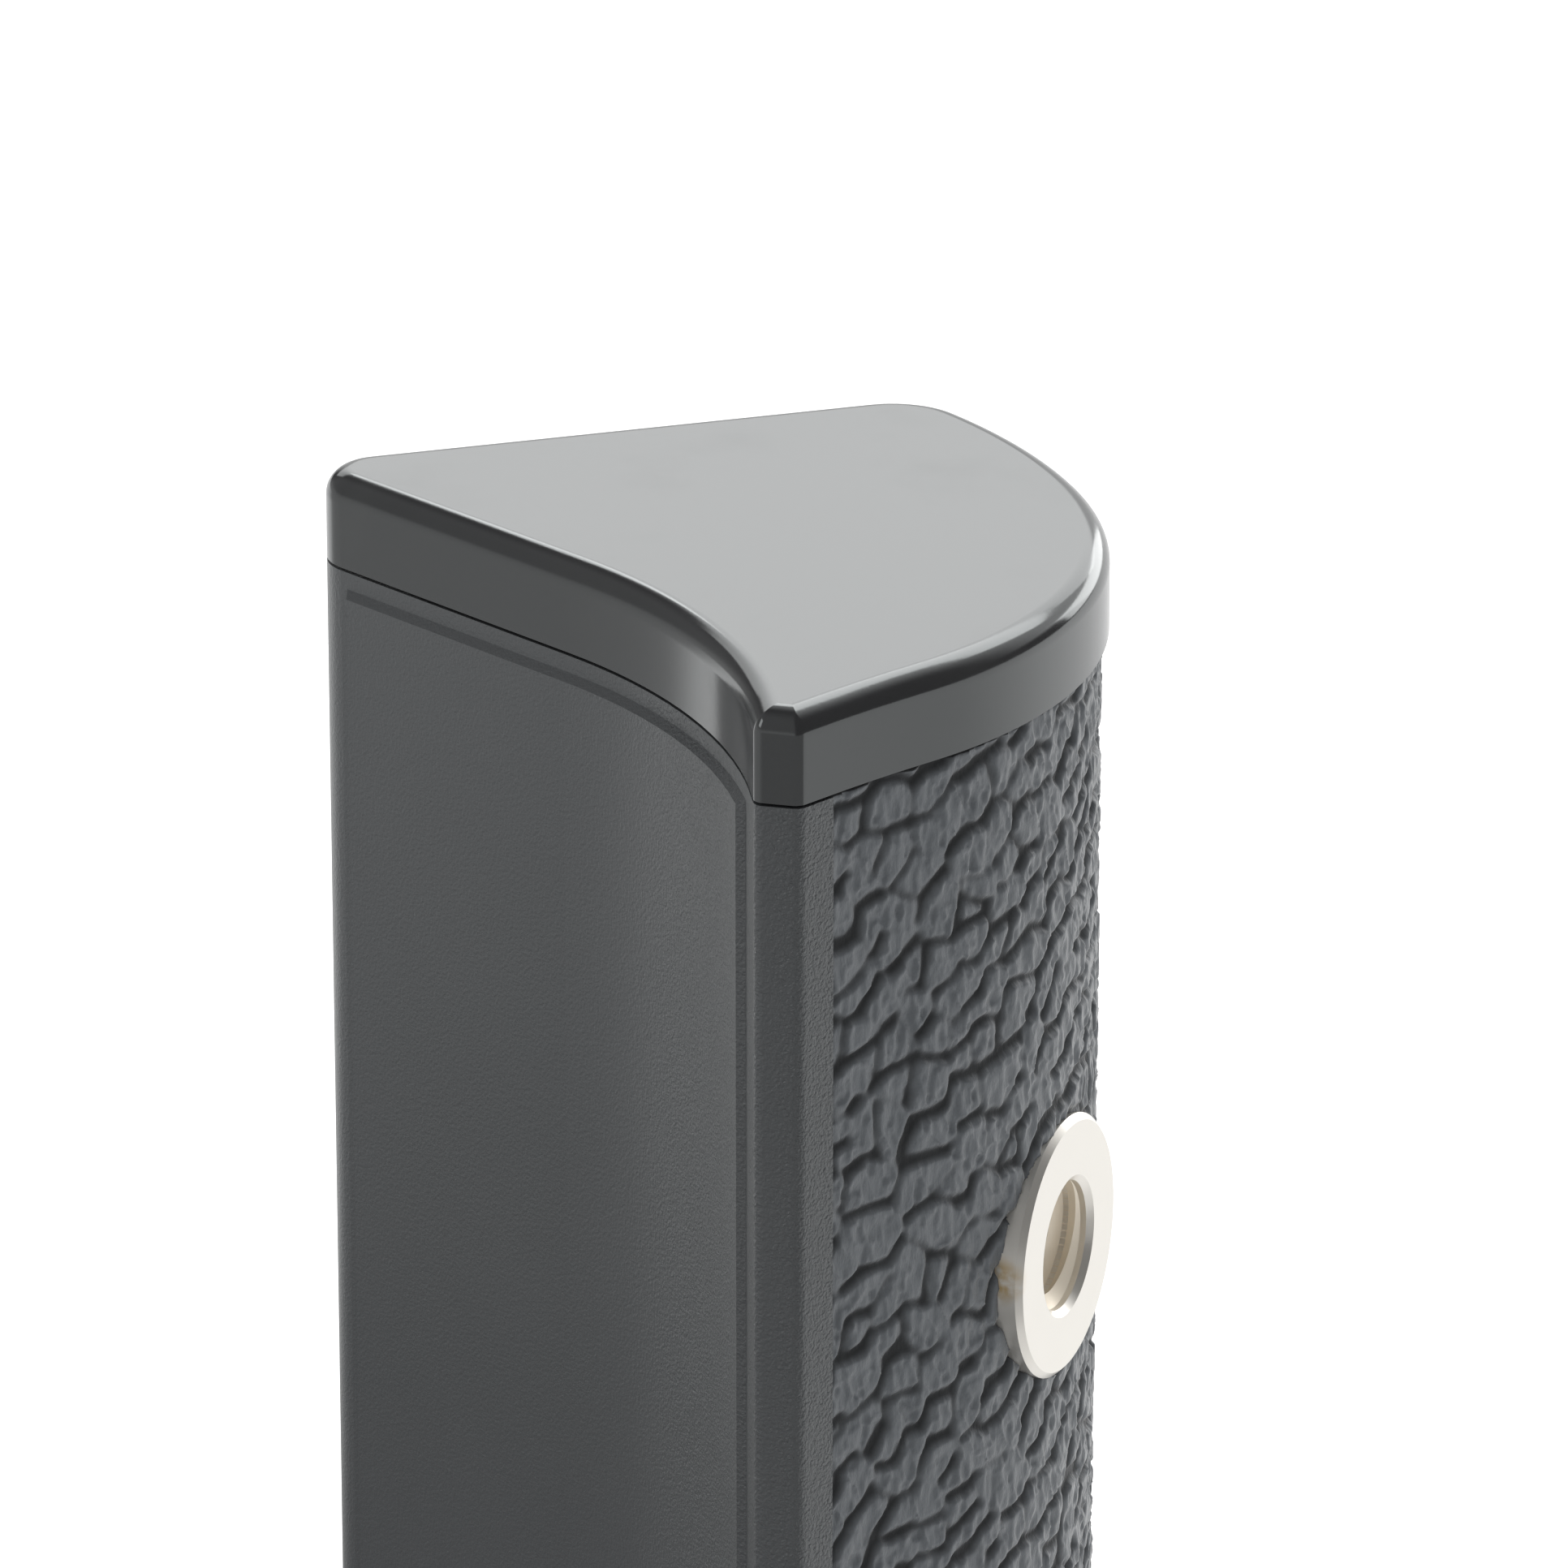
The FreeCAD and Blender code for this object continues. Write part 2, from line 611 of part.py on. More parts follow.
def make_screw_bridge():
    """A bent steel strap that spans the wheel, with a foot screwed to the plate at each end."""
    outer = leg_inner + BRIDGE
    foot = outer + BRIDGE_FOOT
    points = [
        (-foot, plate_inner),
        (-leg_inner, plate_inner),
        (-leg_inner, bridge_front),
        (leg_inner, bridge_front),
        (leg_inner, plate_inner),
        (foot, plate_inner),
        (foot, plate_inner - BRIDGE),
        (outer, plate_inner - BRIDGE),
        (outer, bridge_back),
        (-outer, bridge_back),
        (-outer, plate_inner - BRIDGE),
        (-foot, plate_inner - BRIDGE),
    ]
    polygon = Part.makePolygon([V(-BRIDGE_WIDTH / 2, y, z) for z, y in points + [points[0]]])
    strap = Part.Face(polygon).extrude(V(BRIDGE_WIDTH, 0, 0))
    bends = [
        edge for edge in strap.Edges
        if abs(edge.tangentAt(edge.FirstParameter).x) > ALONG
        and abs(abs(edge.CenterOfMass.z) - outer) < TOUCH
    ]
    strap = strap.makeFillet(BRIDGE_BEND, bends)
    strap = strap.cut(rod(JOURNAL_RADIUS + BUSHING_WALL, V(0, bridge_front, 0), inwards, BRIDGE))
    for side in (-1, 1):
        strap = strap.cut(rod(PLATE_SCREW_RADIUS + HOLE_CLEARANCE, V(0, plate_inner, side * foot_middle),
                              inwards, BRIDGE))
    return strap


def make_bridge_screws():
    head_front = plate_inner - BRIDGE
    screws = []
    for side in (-1, 1):
        place = V(0, head_front, side * foot_middle)
        screw = rod(PLATE_SCREW_RADIUS, place, V(0, 1, 0), BRIDGE + PLATE - CHAMFER)
        head = rod(PLATE_SCREW_HEAD, place, inwards, PLATE_SCREW_RADIUS)
        socket = hexagon(PLATE_SCREW_HEAD, PLATE_SCREW_RADIUS * HEX_SHARE)
        socket = along(socket, place + inwards * PLATE_SCREW_RADIUS, V(0, 1, 0))
        screws.append(screw.fuse(head).cut(socket))
    return Part.makeCompound(screws)


def make_bridge_bushing():
    bore = JOURNAL_RADIUS + RUN_CLEARANCE
    bushing = turned_part([
        (bore, 0),
        (BUSHING_FLANGE_RADIUS, 0),
        (BUSHING_FLANGE_RADIUS, BUSHING_FLANGE),
        (JOURNAL_RADIUS + BUSHING_WALL, BUSHING_FLANGE),
        (JOURNAL_RADIUS + BUSHING_WALL, BUSHING_FLANGE + BRIDGE),
        (bore, BUSHING_FLANGE + BRIDGE),
    ])
    return along(bushing, V(0, hub_end, 0), inwards)


def make_retaining_clip():
    """Open spring clip in the groove of the screw."""
    clip = turned_part([
        (JOURNAL_RADIUS - CLIP_GROOVE, 0),
        (CLIP_RADIUS, 0),
        (CLIP_RADIUS, CLIP),
        (JOURNAL_RADIUS - CLIP_GROOVE, CLIP),
    ])
    mouth = Part.makeBox(2 * (JOURNAL_RADIUS - CLIP_GROOVE), CLIP_RADIUS, CLIP,
                         V(-(JOURNAL_RADIUS - CLIP_GROOVE), 0, 0))
    return along(clip.cut(mouth), V(0, clip_front, 0), inwards)


parts = {
    "grip_body": make_body,
    "top_cap": make_top_cap,
    "bottom_cap": make_bottom_cap,
    "tie_bolts": make_tie_bolts,
    "leather_cover": make_leather,
    "accessory_bush": make_accessory_bush,
    "bush_washer": make_bush_washer,
    "bush_nut": make_bush_nut,
    "back_plate": make_back_plate,
    "back_plate_screws": make_plate_screws,
    "back_pad": make_back_pad,
    "locating_pins": make_locating_pins,
    "camera_screw": make_camera_screw,
    "thumb_wheel": make_thumb_wheel,
    "wheel_cross_pin": lambda: cross_pin(HUB_RADIUS),
    "wave_washer": make_wave_washer,
    "screw_bridge": make_screw_bridge,
    "bridge_screws": make_bridge_screws,
    "bridge_bushing": make_bridge_bushing,
    "retaining_clip": make_retaining_clip,
}

os.makedirs("parts", exist_ok=True)
for name, make in parts.items():
    shape = make()
    shape.translate(V(0, -PAD_PROUD, 0))
    shape.exportStep("parts/" + name + ".step")
    print(name, len(shape.Solids), "solids", round(shape.Volume, 1), "mm3", shape.isValid())
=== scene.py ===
# %% [markdown]
# # A camera hand grip
#
# The grip is a hollow casting that a hand closes round: flat at the back, where the camera
# stands, hollow on the side of the fingertips and covered with leather on the side of the palm.
# Two black caps close it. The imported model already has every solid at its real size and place.
# This lesson gives each piece its finish and models anew what is too fine for those solids: the
# tight corners of the nose, the round edge of the caps, the grain of the leather, the threads.

# %% Load the model and keep its box
import json
import math

import bpy
import numpy as np
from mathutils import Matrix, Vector
from mathutils.bvhtree import BVHTree
from mathutils.geometry import tessellate_polygon


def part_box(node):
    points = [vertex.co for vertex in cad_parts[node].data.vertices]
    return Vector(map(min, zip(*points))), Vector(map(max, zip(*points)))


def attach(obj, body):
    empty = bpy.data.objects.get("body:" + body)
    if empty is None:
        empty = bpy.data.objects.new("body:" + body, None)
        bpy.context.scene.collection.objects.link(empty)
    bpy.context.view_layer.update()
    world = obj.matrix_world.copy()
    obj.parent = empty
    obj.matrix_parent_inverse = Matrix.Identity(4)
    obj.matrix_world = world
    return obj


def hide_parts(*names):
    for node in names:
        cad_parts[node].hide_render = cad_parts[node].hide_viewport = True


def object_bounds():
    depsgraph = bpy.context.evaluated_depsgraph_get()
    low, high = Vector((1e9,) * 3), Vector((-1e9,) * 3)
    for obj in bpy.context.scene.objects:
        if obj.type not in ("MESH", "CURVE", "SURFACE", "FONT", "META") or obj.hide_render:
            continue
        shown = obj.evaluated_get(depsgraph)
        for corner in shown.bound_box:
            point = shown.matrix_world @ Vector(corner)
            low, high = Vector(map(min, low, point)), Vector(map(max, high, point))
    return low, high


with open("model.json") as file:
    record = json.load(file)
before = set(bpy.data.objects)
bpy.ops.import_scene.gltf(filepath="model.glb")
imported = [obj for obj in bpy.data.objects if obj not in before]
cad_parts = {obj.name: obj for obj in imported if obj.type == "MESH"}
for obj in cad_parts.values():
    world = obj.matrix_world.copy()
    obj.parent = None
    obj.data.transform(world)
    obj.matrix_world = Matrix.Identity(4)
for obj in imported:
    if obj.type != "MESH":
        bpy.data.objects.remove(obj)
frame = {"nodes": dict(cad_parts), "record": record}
nodes = frame["nodes"]
MM = 0.001
cad_low, cad_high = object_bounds()
print("pieces", len(nodes), "box in mm", [round((b - a) / MM, 2) for a, b in zip(cad_low, cad_high)])

# %% [markdown]
# ## Shader sums in plain Python
#
# A finish is a sum of masks: how deep a groove is, how worn an edge. Such sums are easier to read
# as Python than as a web of nodes, so a small class wraps a node's output and answers to the
# signs + - and *. Each sign adds one Math node. A second class holds a material and adds any
# other node, with its settings made before its sockets are filled.

# %% A node's output that Python can reckon with
class Wire:
    """One output of a node."""

    def __init__(self, finish, socket):
        self.finish = finish
        self.socket = socket

    def reckon(self, operation, first, second):
        return self.finish.add("ShaderNodeMath", {"operation": operation}, {0: first, 1: second})

    def __add__(self, other):
        return self.reckon("ADD", self, other)

    def __sub__(self, other):
        return self.reckon("SUBTRACT", self, other)

    def __rsub__(self, other):
        return self.reckon("SUBTRACT", other, self)

    def __mul__(self, other):
        return self.reckon("MULTIPLY", self, other)

    __radd__ = __add__
    __rmul__ = __mul__

    def between(self, low, high):
        """0 below low, 1 above high, and a soft slope from one to the other."""
        settings = {"interpolation_type": "SMOOTHSTEP"}
        return self.finish.add("ShaderNodeMapRange", settings, {0: self, 1: low, 2: high})


# %% A material, or the world, and the nodes in it
class Finish:
    """A node tree with one method for nodes and a few short names for what is used most."""

    def __init__(self, name, tree=None):
        if tree is None:
            self.material = bpy.data.materials.new(name)
            self.material.use_nodes = True
            tree = self.material.node_tree
        self.tree = tree
        self.tree.nodes.clear()

    def add(self, kind, settings=None, sockets=None, output=0):
        """Adds a node. Its settings come first, then the values or links of its sockets."""
        node = self.tree.nodes.new(kind)
        for name, value in (settings or {}).items():
            setattr(node, name, value)
        for name, value in (sockets or {}).items():
            if isinstance(value, Wire):
                self.tree.links.new(value.socket, node.inputs[name])
            else:
                node.inputs[name].default_value = value
        return Wire(self, node.outputs[output]) if len(node.outputs) else None

    def vector(self, operation, *vectors, output=0):
        """One Vector Math node."""
        return self.add("ShaderNodeVectorMath", {"operation": operation}, dict(enumerate(vectors)), output)

    def part(self, vector, letter):
        """The X, Y or Z of a vector."""
        return self.add("ShaderNodeSeparateXYZ", None, {"Vector": vector}, letter)

    def where(self):
        """Object coordinates in millimetres."""
        return self.vector("MULTIPLY", self.add("ShaderNodeTexCoord", output="Object"), [1 / MM] * 3)

    def noise(self, place, size, detail=3, roughness=0.5):
        """Cloudy noise, 0 to 1, whose clouds are about size millimetres across."""
        return self.add("ShaderNodeTexNoise", {"noise_dimensions": "3D"},
                        {"Vector": place, "Scale": 1 / size, "Detail": detail, "Roughness": roughness})

    def blend(self, mask, first, second):
        """The colour first where mask is 0, and second where it is 1."""
        return self.add("ShaderNodeMix", {"data_type": "RGBA"}, {0: mask, 6: first, 7: second}, 2)

    def bump(self, height, depth, normal=None):
        """Turns a height of 0 to 1 into a bump of so many millimetres."""
        sockets = {"Height": height, "Distance": depth * MM, "Strength": 1.0}
        if normal:
            sockets["Normal"] = normal
        return self.add("ShaderNodeBump", None, sockets)

    def surface(self, **sockets):
        """Ends the material with a Principled shader, and returns the material."""
        names = {name.replace("_", " "): value for name, value in sockets.items()}
        shader = self.add("ShaderNodeBsdfPrincipled", None, names)
        self.add("ShaderNodeOutputMaterial", None, {"Surface": shader})
        print(self.material.name, "has", len(self.tree.nodes), "nodes")
        return self.material


# %% [markdown]
# ## Camera
#
# A product picture of so small a thing is taken with a long lens from close by. The lens and the
# stand come from the photograph: the camera looks down by 21 degrees, from 17.6 degrees to the
# left of the grip's nose, and sees only the upper half of the grip.

# %% Set the camera
lens = bpy.data.cameras.new("camera")
lens.sensor_width = 36
lens.lens = 255.4
lens.clip_start = 0.01
camera = bpy.data.objects.new("camera", lens)
camera.location = (-0.15288, -0.49303, 0.22650)
camera.rotation_euler = (math.radians(90 - 21), 0, math.radians(-17.6))
bpy.context.scene.collection.objects.link(camera)
bpy.context.scene.camera = camera
bpy.context.scene.view_settings.view_transform = "Standard"
print("camera stands", round(camera.location.length / MM), "mm from the screw's axis")

# %% [markdown]
# ## Floor, backdrop and light
#
# The grip stands on white paper in front of a lit wall, in a room that is dark behind the camera.
# That is why the edge of the cap shows a white line over a black one: its round mirrors first
# the wall and then the room. The floor is white by its colour, with a little glow that only the
# camera sees, and the grip still drops its shadow on it. In a mirror it shows painted light and
# shade instead: darker in front, lighter at the sides and towards the wall, with a painted shadow
# at the left of the grip, so that the gloss of the paint shows what a real room shows and the lamps
# stay plain.

# %% Make a mesh object
def mesh_piece(name, points, faces, material=None):
    """A mesh object from points in metres and faces as lists of point numbers."""
    mesh = bpy.data.meshes.new(name)
    mesh.from_pydata([tuple(p) for p in points], [], [tuple(f) for f in faces])
    mesh.polygons.foreach_set("use_smooth", [True] * len(mesh.polygons))
    if material:
        mesh.materials.append(material)
    piece = bpy.data.objects.new(name, mesh)
    bpy.context.scene.collection.objects.link(piece)
    return piece


# %% Paint the floor
def grey(level, cool=0.0):
    return (level, level, level + cool, 1)


FLOOR_GLOW = 0.4
LIGHT_PATH = "ShaderNodeLightPath"
floor_z = cad_low[2]
paper = Finish("floor_paper")
sheet = paper.add("ShaderNodeBsdfDiffuse", None, {"Color": grey(0.8)})
seen = paper.add(LIGHT_PATH, output="Is Camera Ray") + paper.add(LIGHT_PATH, output="Is Transmission Ray")
glow = paper.add("ShaderNodeEmission", None, {"Color": seen * FLOOR_GLOW})
lit = paper.add("ShaderNodeAddShader", None, {0: sheet, 1: glow})

# %% Paint light and shade on the floor as a mirror sees it
NOSE_FOOT = (-9, -41.5, floor_z / MM)
PAINTED_SHADOW_AT = (-80, 10, floor_z / MM)
ray = paper.vector("NORMALIZE", paper.vector("SUBTRACT", paper.where(), NOSE_FOOT))


def facing(degrees):
    """The cosine of the angle between the ray and a compass direction, 0 degrees along +X."""
    toward = (math.cos(math.radians(degrees)), math.sin(math.radians(degrees)), 0)
    return paper.vector("DOT_PRODUCT", ray, toward, output="Value")


# painted light and shade for mirrors: dark in front, where the camera stands, and lighter at both sides and
# towards the wall
in_front = 0.27
at_right = 0.47 * facing(40).between(0.0, 0.24)
at_wall = 0.30 * facing(60).between(0.2, 0.8)
at_left = 0.22 * facing(150).between(0.35, 0.8)
# and a painted shadow: a dim pool at the left of the grip
painted_shadow = 0.28 + 0.72 * paper.vector("DISTANCE", paper.where(), PAINTED_SHADOW_AT, output="Value").between(50, 150)
painted_mirror_tone = (in_front + at_right + at_wall + at_left) * painted_shadow
painted_reflection = paper.add("ShaderNodeEmission", None, {"Color": painted_mirror_tone})
mirror = paper.add(LIGHT_PATH, output="Is Glossy Ray")
both = paper.add("ShaderNodeMixShader", None, {0: mirror, 1: lit, 2: painted_reflection})
paper.add("ShaderNodeOutputMaterial", None, {"Surface": both})

# %% Lay the floor
FLOOR_REACH = 4.0
square = [(-1, -1), (1, -1), (1, 1), (-1, 1)]
floor_corners = [(x * FLOOR_REACH, y * FLOOR_REACH, floor_z) for x, y in square]
floor = mesh_piece("floor", floor_corners, [(0, 1, 2, 3)], paper.material)
print("floor", 2 * FLOOR_REACH, "m wide, its tones from", len(paper.tree.nodes), "nodes")

# %% Light the room
DARK_ROOM = 0.05
WALL_IN_MIRROR = 0.82
PLAIN_LIGHT = 0.9
WALL_LIGHT = 0.3
room = bpy.data.worlds.new("room")
room.use_nodes = True
bpy.context.scene.world = room
sky = Finish("room", room.node_tree)
direction = sky.add("ShaderNodeTexCoord", output="Generated")
x, y, z = (sky.part(direction, letter) for letter in "XYZ")
# the lit wall stands behind the grip and at its right, and its lower edge drops towards the back
above = z + 0.35 * y.between(0.3, 0.7)
wall = (y + 0.2 * x).between(0.0, 0.5) * x.between(-0.15, 0.2) * above.between(0.2, 0.3)
# a dull window at the left, lighter low down
window = (0 - x).between(0.1, 0.5) * (0.16 + 0.24 * (1 - z.between(0.05, 0.25)))
in_mirror = sky.add(LIGHT_PATH, output="Is Glossy Ray")
in_camera = sky.add(LIGHT_PATH, output="Is Camera Ray")
mirror_tone = DARK_ROOM + WALL_IN_MIRROR * wall + window
light_tone = PLAIN_LIGHT + WALL_LIGHT * wall
level = in_camera + (1 - in_camera) * (in_mirror * mirror_tone + (1 - in_mirror) * light_tone)
backdrop = sky.add("ShaderNodeBackground", None, {"Color": level})
sky.add("ShaderNodeOutputWorld", None, {"Surface": backdrop})
print("room of", len(sky.tree.nodes), "nodes")

# %% Hang the lamps
def lamp(name, place, aim, width, height, brightness):
    """A soft box whose face has so many times the brightness of white."""
    light = bpy.data.lights.new(name, "AREA")
    light.shape = "RECTANGLE"
    light.size, light.size_y = width, height
    light.energy = brightness * math.pi * width * height
    piece = bpy.data.objects.new(name, light)
    piece.location = place
    piece.rotation_euler = (Vector(aim) - Vector(place)).to_track_quat("-Z", "Y").to_euler()
    bpy.context.scene.collection.objects.link(piece)
    print(name, round(light.energy, 2), "W")


lamp("wall_light", (0.40, 1.34, 0.70), (0, 0, 0.05), 1.7, 0.50, 1.15)
lamp("high_light", (0.62, 0.90, 1.05), (0, 0, 0.05), 1.5, 0.50, 2.4)
lamp("low_light", (1.10, 0.80, 0.26), (0, 0, 0.02), 0.9, 0.40, 2.6)
lamp("left_light", (-0.9, -0.1, 0.55), (0, 0, 0), 0.5, 0.5, 1.6)

# %% [markdown]
# ## Lacquer of the caps
#
# The caps are turned and milled metal under a smooth black lacquer. Hands leave faint smudges on
# it, which show as slightly duller clouds, and a close look finds a very fine ripple. A clear coat
# over a dull black could give this gloss too. One layer with a high index of refraction is simpler
# and mirrors the room just as clearly at a glancing angle.

# %% Black cap finish
cap_paint = Finish("cap_finish")
spot = cap_paint.where()
smudge = cap_paint.noise(spot, 9, 4, 0.6).between(0.52, 0.72)
fine = cap_paint.noise(spot, 0.5, 2)
cap_black = cap_paint.surface(
    Base_Color=cap_paint.blend(smudge * 0.4, grey(0.022, 0.001), grey(0.030)),
    Roughness=0.11 + smudge * 0.04 + fine * 0.03,
    IOR=2.0,
    Specular_Tint=(0.95, 1.0, 1.0, 1),
    Normal=cap_paint.bump(cap_paint.noise(spot, 0.35, 2), 0.0015),
)

# %% [markdown]
# ## Paint of the casting
#
# The casting has a tough grey paint, sprayed so that it dries with a fine peel like the skin of
# an orange. The peel is far too fine for a mesh, so it is a bump: noise a sixth of a millimetre
# across. Fingertips have rubbed it down on their side, so the bump is weaker there.

# %% Body paint
RUBBED, FRESH = -12.0, -9.0
body_paint = Finish("cast_body_paint")
spot = body_paint.where()
peel = body_paint.noise(spot, 0.17, 2, 0.55)
broad = body_paint.noise(spot, 14, 3)
grain = peel * (0.25 + 0.75 * body_paint.part(spot, "X").between(RUBBED, FRESH))
dark_grey = body_paint.surface(
    Base_Color=body_paint.blend(broad, (0.039, 0.041, 0.044, 1), (0.049, 0.051, 0.054, 1)),
    Roughness=0.31 + peel * 0.10,
    IOR=2.0,
    Specular_Tint=(0.96, 1.0, 1.0, 1),
    Normal=body_paint.bump(grain, 0.12),
)

# %% [markdown]
# ## Steel, bronze and rubber
#
# The fittings at the back and inside are bare steel, blackened steel, bronze and a rubber pad.
# They differ in colour and gloss, and all are a little duller and darker in clouds where they
# have been handled, so one function makes them all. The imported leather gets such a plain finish
# too, because a mesh of its own takes its place further down.

# %% Plain finishes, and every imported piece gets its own
def handled(name, colour, roughness, metallic=1.0):
    """A finish with darker, duller clouds and a fine tooth."""
    metal = Finish(name)
    spot = metal.where()
    wear = metal.noise(spot, 2.5, 4, 0.6)
    darker = tuple(0.8 * c for c in colour)
    return metal.surface(
        Base_Color=metal.blend(wear.between(0.4, 0.7), (*colour, 1), (*darker, 1)),
        Metallic=metallic,
        Roughness=roughness * (0.8 + 0.4 * wear),
        Normal=metal.bump(metal.noise(spot, 0.15, 2), 0.002),
    )


finishes = {
    "cap_finish": cap_black,
    "cast_body_paint": dark_grey,
    "bright_nickel": handled("bright_nickel", (0.90, 0.87, 0.81), 0.26),
    "zinc_steel": handled("zinc_steel", (0.60, 0.60, 0.60), 0.35),
    "black_steel": handled("black_steel", (0.035, 0.036, 0.038), 0.4, 0.0),
    "pad_rubber": handled("pad_rubber", (0.03, 0.03, 0.031), 0.75, 0.0),
    "bronze": handled("bronze", (0.62, 0.45, 0.24), 0.3),
    "leather": handled("leather", (0.04, 0.041, 0.043), 0.5, 0.0),
}
for subpart in frame["record"]["subparts"]:
    piece = nodes[subpart["node"]]
    piece.data.materials.clear()
    piece.data.materials.append(finishes[subpart["material_slot"]])

# %% [markdown]
# ## Nickel of the bush
#
# The bush is brass under a thin bright nickel. Where a strap or a tripod's plate has rubbed its
# rim, the brass shows. The spot could be painted on by hand. Here it is a ball round one point of the
# rim, broken up by noise, which needs no picture and can be moved by one line. The same
# finish, warmer, a little darker and less metallic, serves the thread.

# %% Find the rim of the bush
bush = next(m for m in frame["record"]["mounts"] if m["name"] == "accessory_bush")
bush_mouth = np.array(bush["pos_m"])
bush_axis = np.array(bush["axis"]) / np.linalg.norm(bush["axis"])
bush_low, bush_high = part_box("accessory_bush")
flange_radius = (bush_high.z - bush_low.z) / 2
to_left = np.array([bush_axis[1], -bush_axis[0], 0])
UNDER_MOUTH, OVER_MIDDLE = 0.0008, 0.0006
rubbed_place = bush_mouth + flange_radius * to_left - UNDER_MOUTH * bush_axis + [0, 0, OVER_MIDDLE]
print("flange radius", round(flange_radius / MM, 2), "mm")

# %% Worn nickel, brass where its rim is rubbed
BRASS = (0.60, 0.42, 0.17, 1)


def bush_metal(name, colour, roughness, metallic):
    metal = Finish(name)
    spot = metal.where()
    far = metal.vector("DISTANCE", spot, tuple(rubbed_place / MM), output="Value")
    rubbed = (1 - far.between(0.3, 1.5)) * metal.noise(spot, 0.8, 3).between(0.25, 0.60)
    return metal.surface(
        Base_Color=metal.blend(rubbed, (*colour, 1), BRASS),
        Metallic=metallic,
        Roughness=roughness + 0.05 * metal.noise(spot, 1.5, 3),
        Normal=metal.bump(metal.noise(spot, 0.15, 2), 0.0015),
    )


nodes["accessory_bush"].data.materials[0] = bush_metal("bush_nickel", (0.90, 0.87, 0.81), 0.28, 0.82)

# %% [markdown]
# ## Nose of the casting
#
# The small facet at the nose is the sharpest form of the grip: two tight corners with a flat between
# them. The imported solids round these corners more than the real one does, so the casting and the
# caps are made again from their packed faces, with the corners drawn out. A point of a corner keeps
# its direction from the middle of the round, and only the round's middle and radius change.

# %% Describe the two corners, in millimetres and degrees
NOSE_CORNERS = [
    {"middle": (-8.832, -39.284), "packed": 2.0, "real": 0.7, "start": 238.0, "end": 298.2},
    {"middle": (-9.192, -39.767), "packed": 1.4, "real": 0.6, "start": 168.8, "end": 238.0},
]
for corner in NOSE_CORNERS:
    bisector = math.radians((corner["start"] + corner["end"]) / 2)
    corner["out"] = np.array([math.cos(bisector), math.sin(bisector)])
    corner["half"] = math.cos(math.radians((corner["end"] - corner["start"]) / 2))
    corner["tip"] = np.array(corner["middle"]) + corner["out"] * corner["packed"] / corner["half"]
    print("a corner's round goes from", corner["packed"], "to", corner["real"], "mm")

# %% Draw out the corners of the casting
ON_ROUND = 0.004


def drawn_out(point, inset=0.0):
    """Where a point of the plan goes if it is on a corner of the nose, or None. All in millimetres."""
    for corner in NOSE_CORNERS:
        away = np.array(point) - corner["middle"]
        far = np.linalg.norm(away)
        if abs(far - corner["packed"]) < ON_ROUND and away @ corner["out"] / far > corner["half"] - 0.001:
            radius = max(corner["real"] - inset, 0)
            middle = corner["tip"] - corner["out"] * (inset + radius) / corner["half"]
            return middle + radius * away / far
    return None


def drawn_out_mesh(packed):
    """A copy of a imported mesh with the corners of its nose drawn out, under its own old normals."""
    mesh = packed.copy()
    normals = [tuple(corner.vector) for corner in packed.corner_normals]
    moved = 0
    for vertex in mesh.vertices:
        place = drawn_out((vertex.co.x / MM, vertex.co.y / MM))
        if place is not None:
            vertex.co.x, vertex.co.y = place * MM
            moved += 1
    mesh.normals_split_custom_set(normals)
    print("moved", moved, "of", len(mesh.vertices), "points")
    return mesh


casting = bpy.data.objects.new("casting", drawn_out_mesh(nodes["grip_body"].data))
bpy.context.scene.collection.objects.link(casting)
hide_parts("grip_body")
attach(casting, "grip")

# %% [markdown]
# ## Round edge of the caps
#
# The end edge of a cap is rounded, and mirrors the room in clean bands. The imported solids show
# that round as four flats, which would break the bands. A bevel modifier would round the holes
# of the bolts too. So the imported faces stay, apart from the flats and the end face, and the border
# of the wall is walked round once: each ring above it moves in and up along a quarter circle.
# Every ring has the normals of the true round, so that the gloss runs on without a crease.

# %% Find the borders of the faces that stay
MICRON = 1e-6


def micron(point):
    """A point in whole millionths of a metre, so that equal points can be told."""
    return tuple(round(c / MICRON) for c in point)


def border_loops(faces, level):
    """The closed loops of points at a height that only one face uses, longest first."""
    sides = {}
    for face in faces:
        for a, b in zip(face, face[1:] + face[:1]):
            if (b, a) in sides:
                del sides[b, a]
            else:
                sides[a, b] = True
    following = {a: b for a, b in sides if a[2] == level and b[2] == level}
    loops = []
    while following:
        start, point = following.popitem()
        loop = [start]
        while point != start:
            loop.append(point)
            point = following.pop(point)
        loops.append(loop)
    return sorted(loops, key=len, reverse=True)


# %% Keep the faces of wall, spigot and holes
UPRIGHT, LEVEL = 0.1, 0.99


def kept_faces(packed, end):
    """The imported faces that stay, and how far from the middle of the grip the flats start."""
    flats = [face for face in packed.polygons if UPRIGHT < abs(face.normal.z) < LEVEL]
    start = min(abs(packed.vertices[i].co.z) for face in flats for i in face.vertices)
    gone = {face.index for face in flats}
    gone |= {face.index for face in packed.polygons if abs(face.center.z - end) <= MICRON}
    return [face for face in packed.polygons if face.index not in gone], start


def kept_skin(packed, kept):
    """Three points and normals for each face that stays, with the nose drawn out."""
    points, normals = [], []
    for face in kept:
        upright = abs(face.normal.z) < 0.5
        for vertex, corner in zip(face.vertices, face.loop_indices):
            point = packed.vertices[vertex].co
            place = drawn_out((point.x / MM, point.y / MM))
            points.append(tuple(point) if place is None else (*(place * MM), point.z))
            x, y, z = packed.corner_normals[corner].vector
            normals.append((x, y, 0) if upright else (x, y, z))
    return points, normals


# %% Set out the rings of the round
ROUND_STEPS = 12


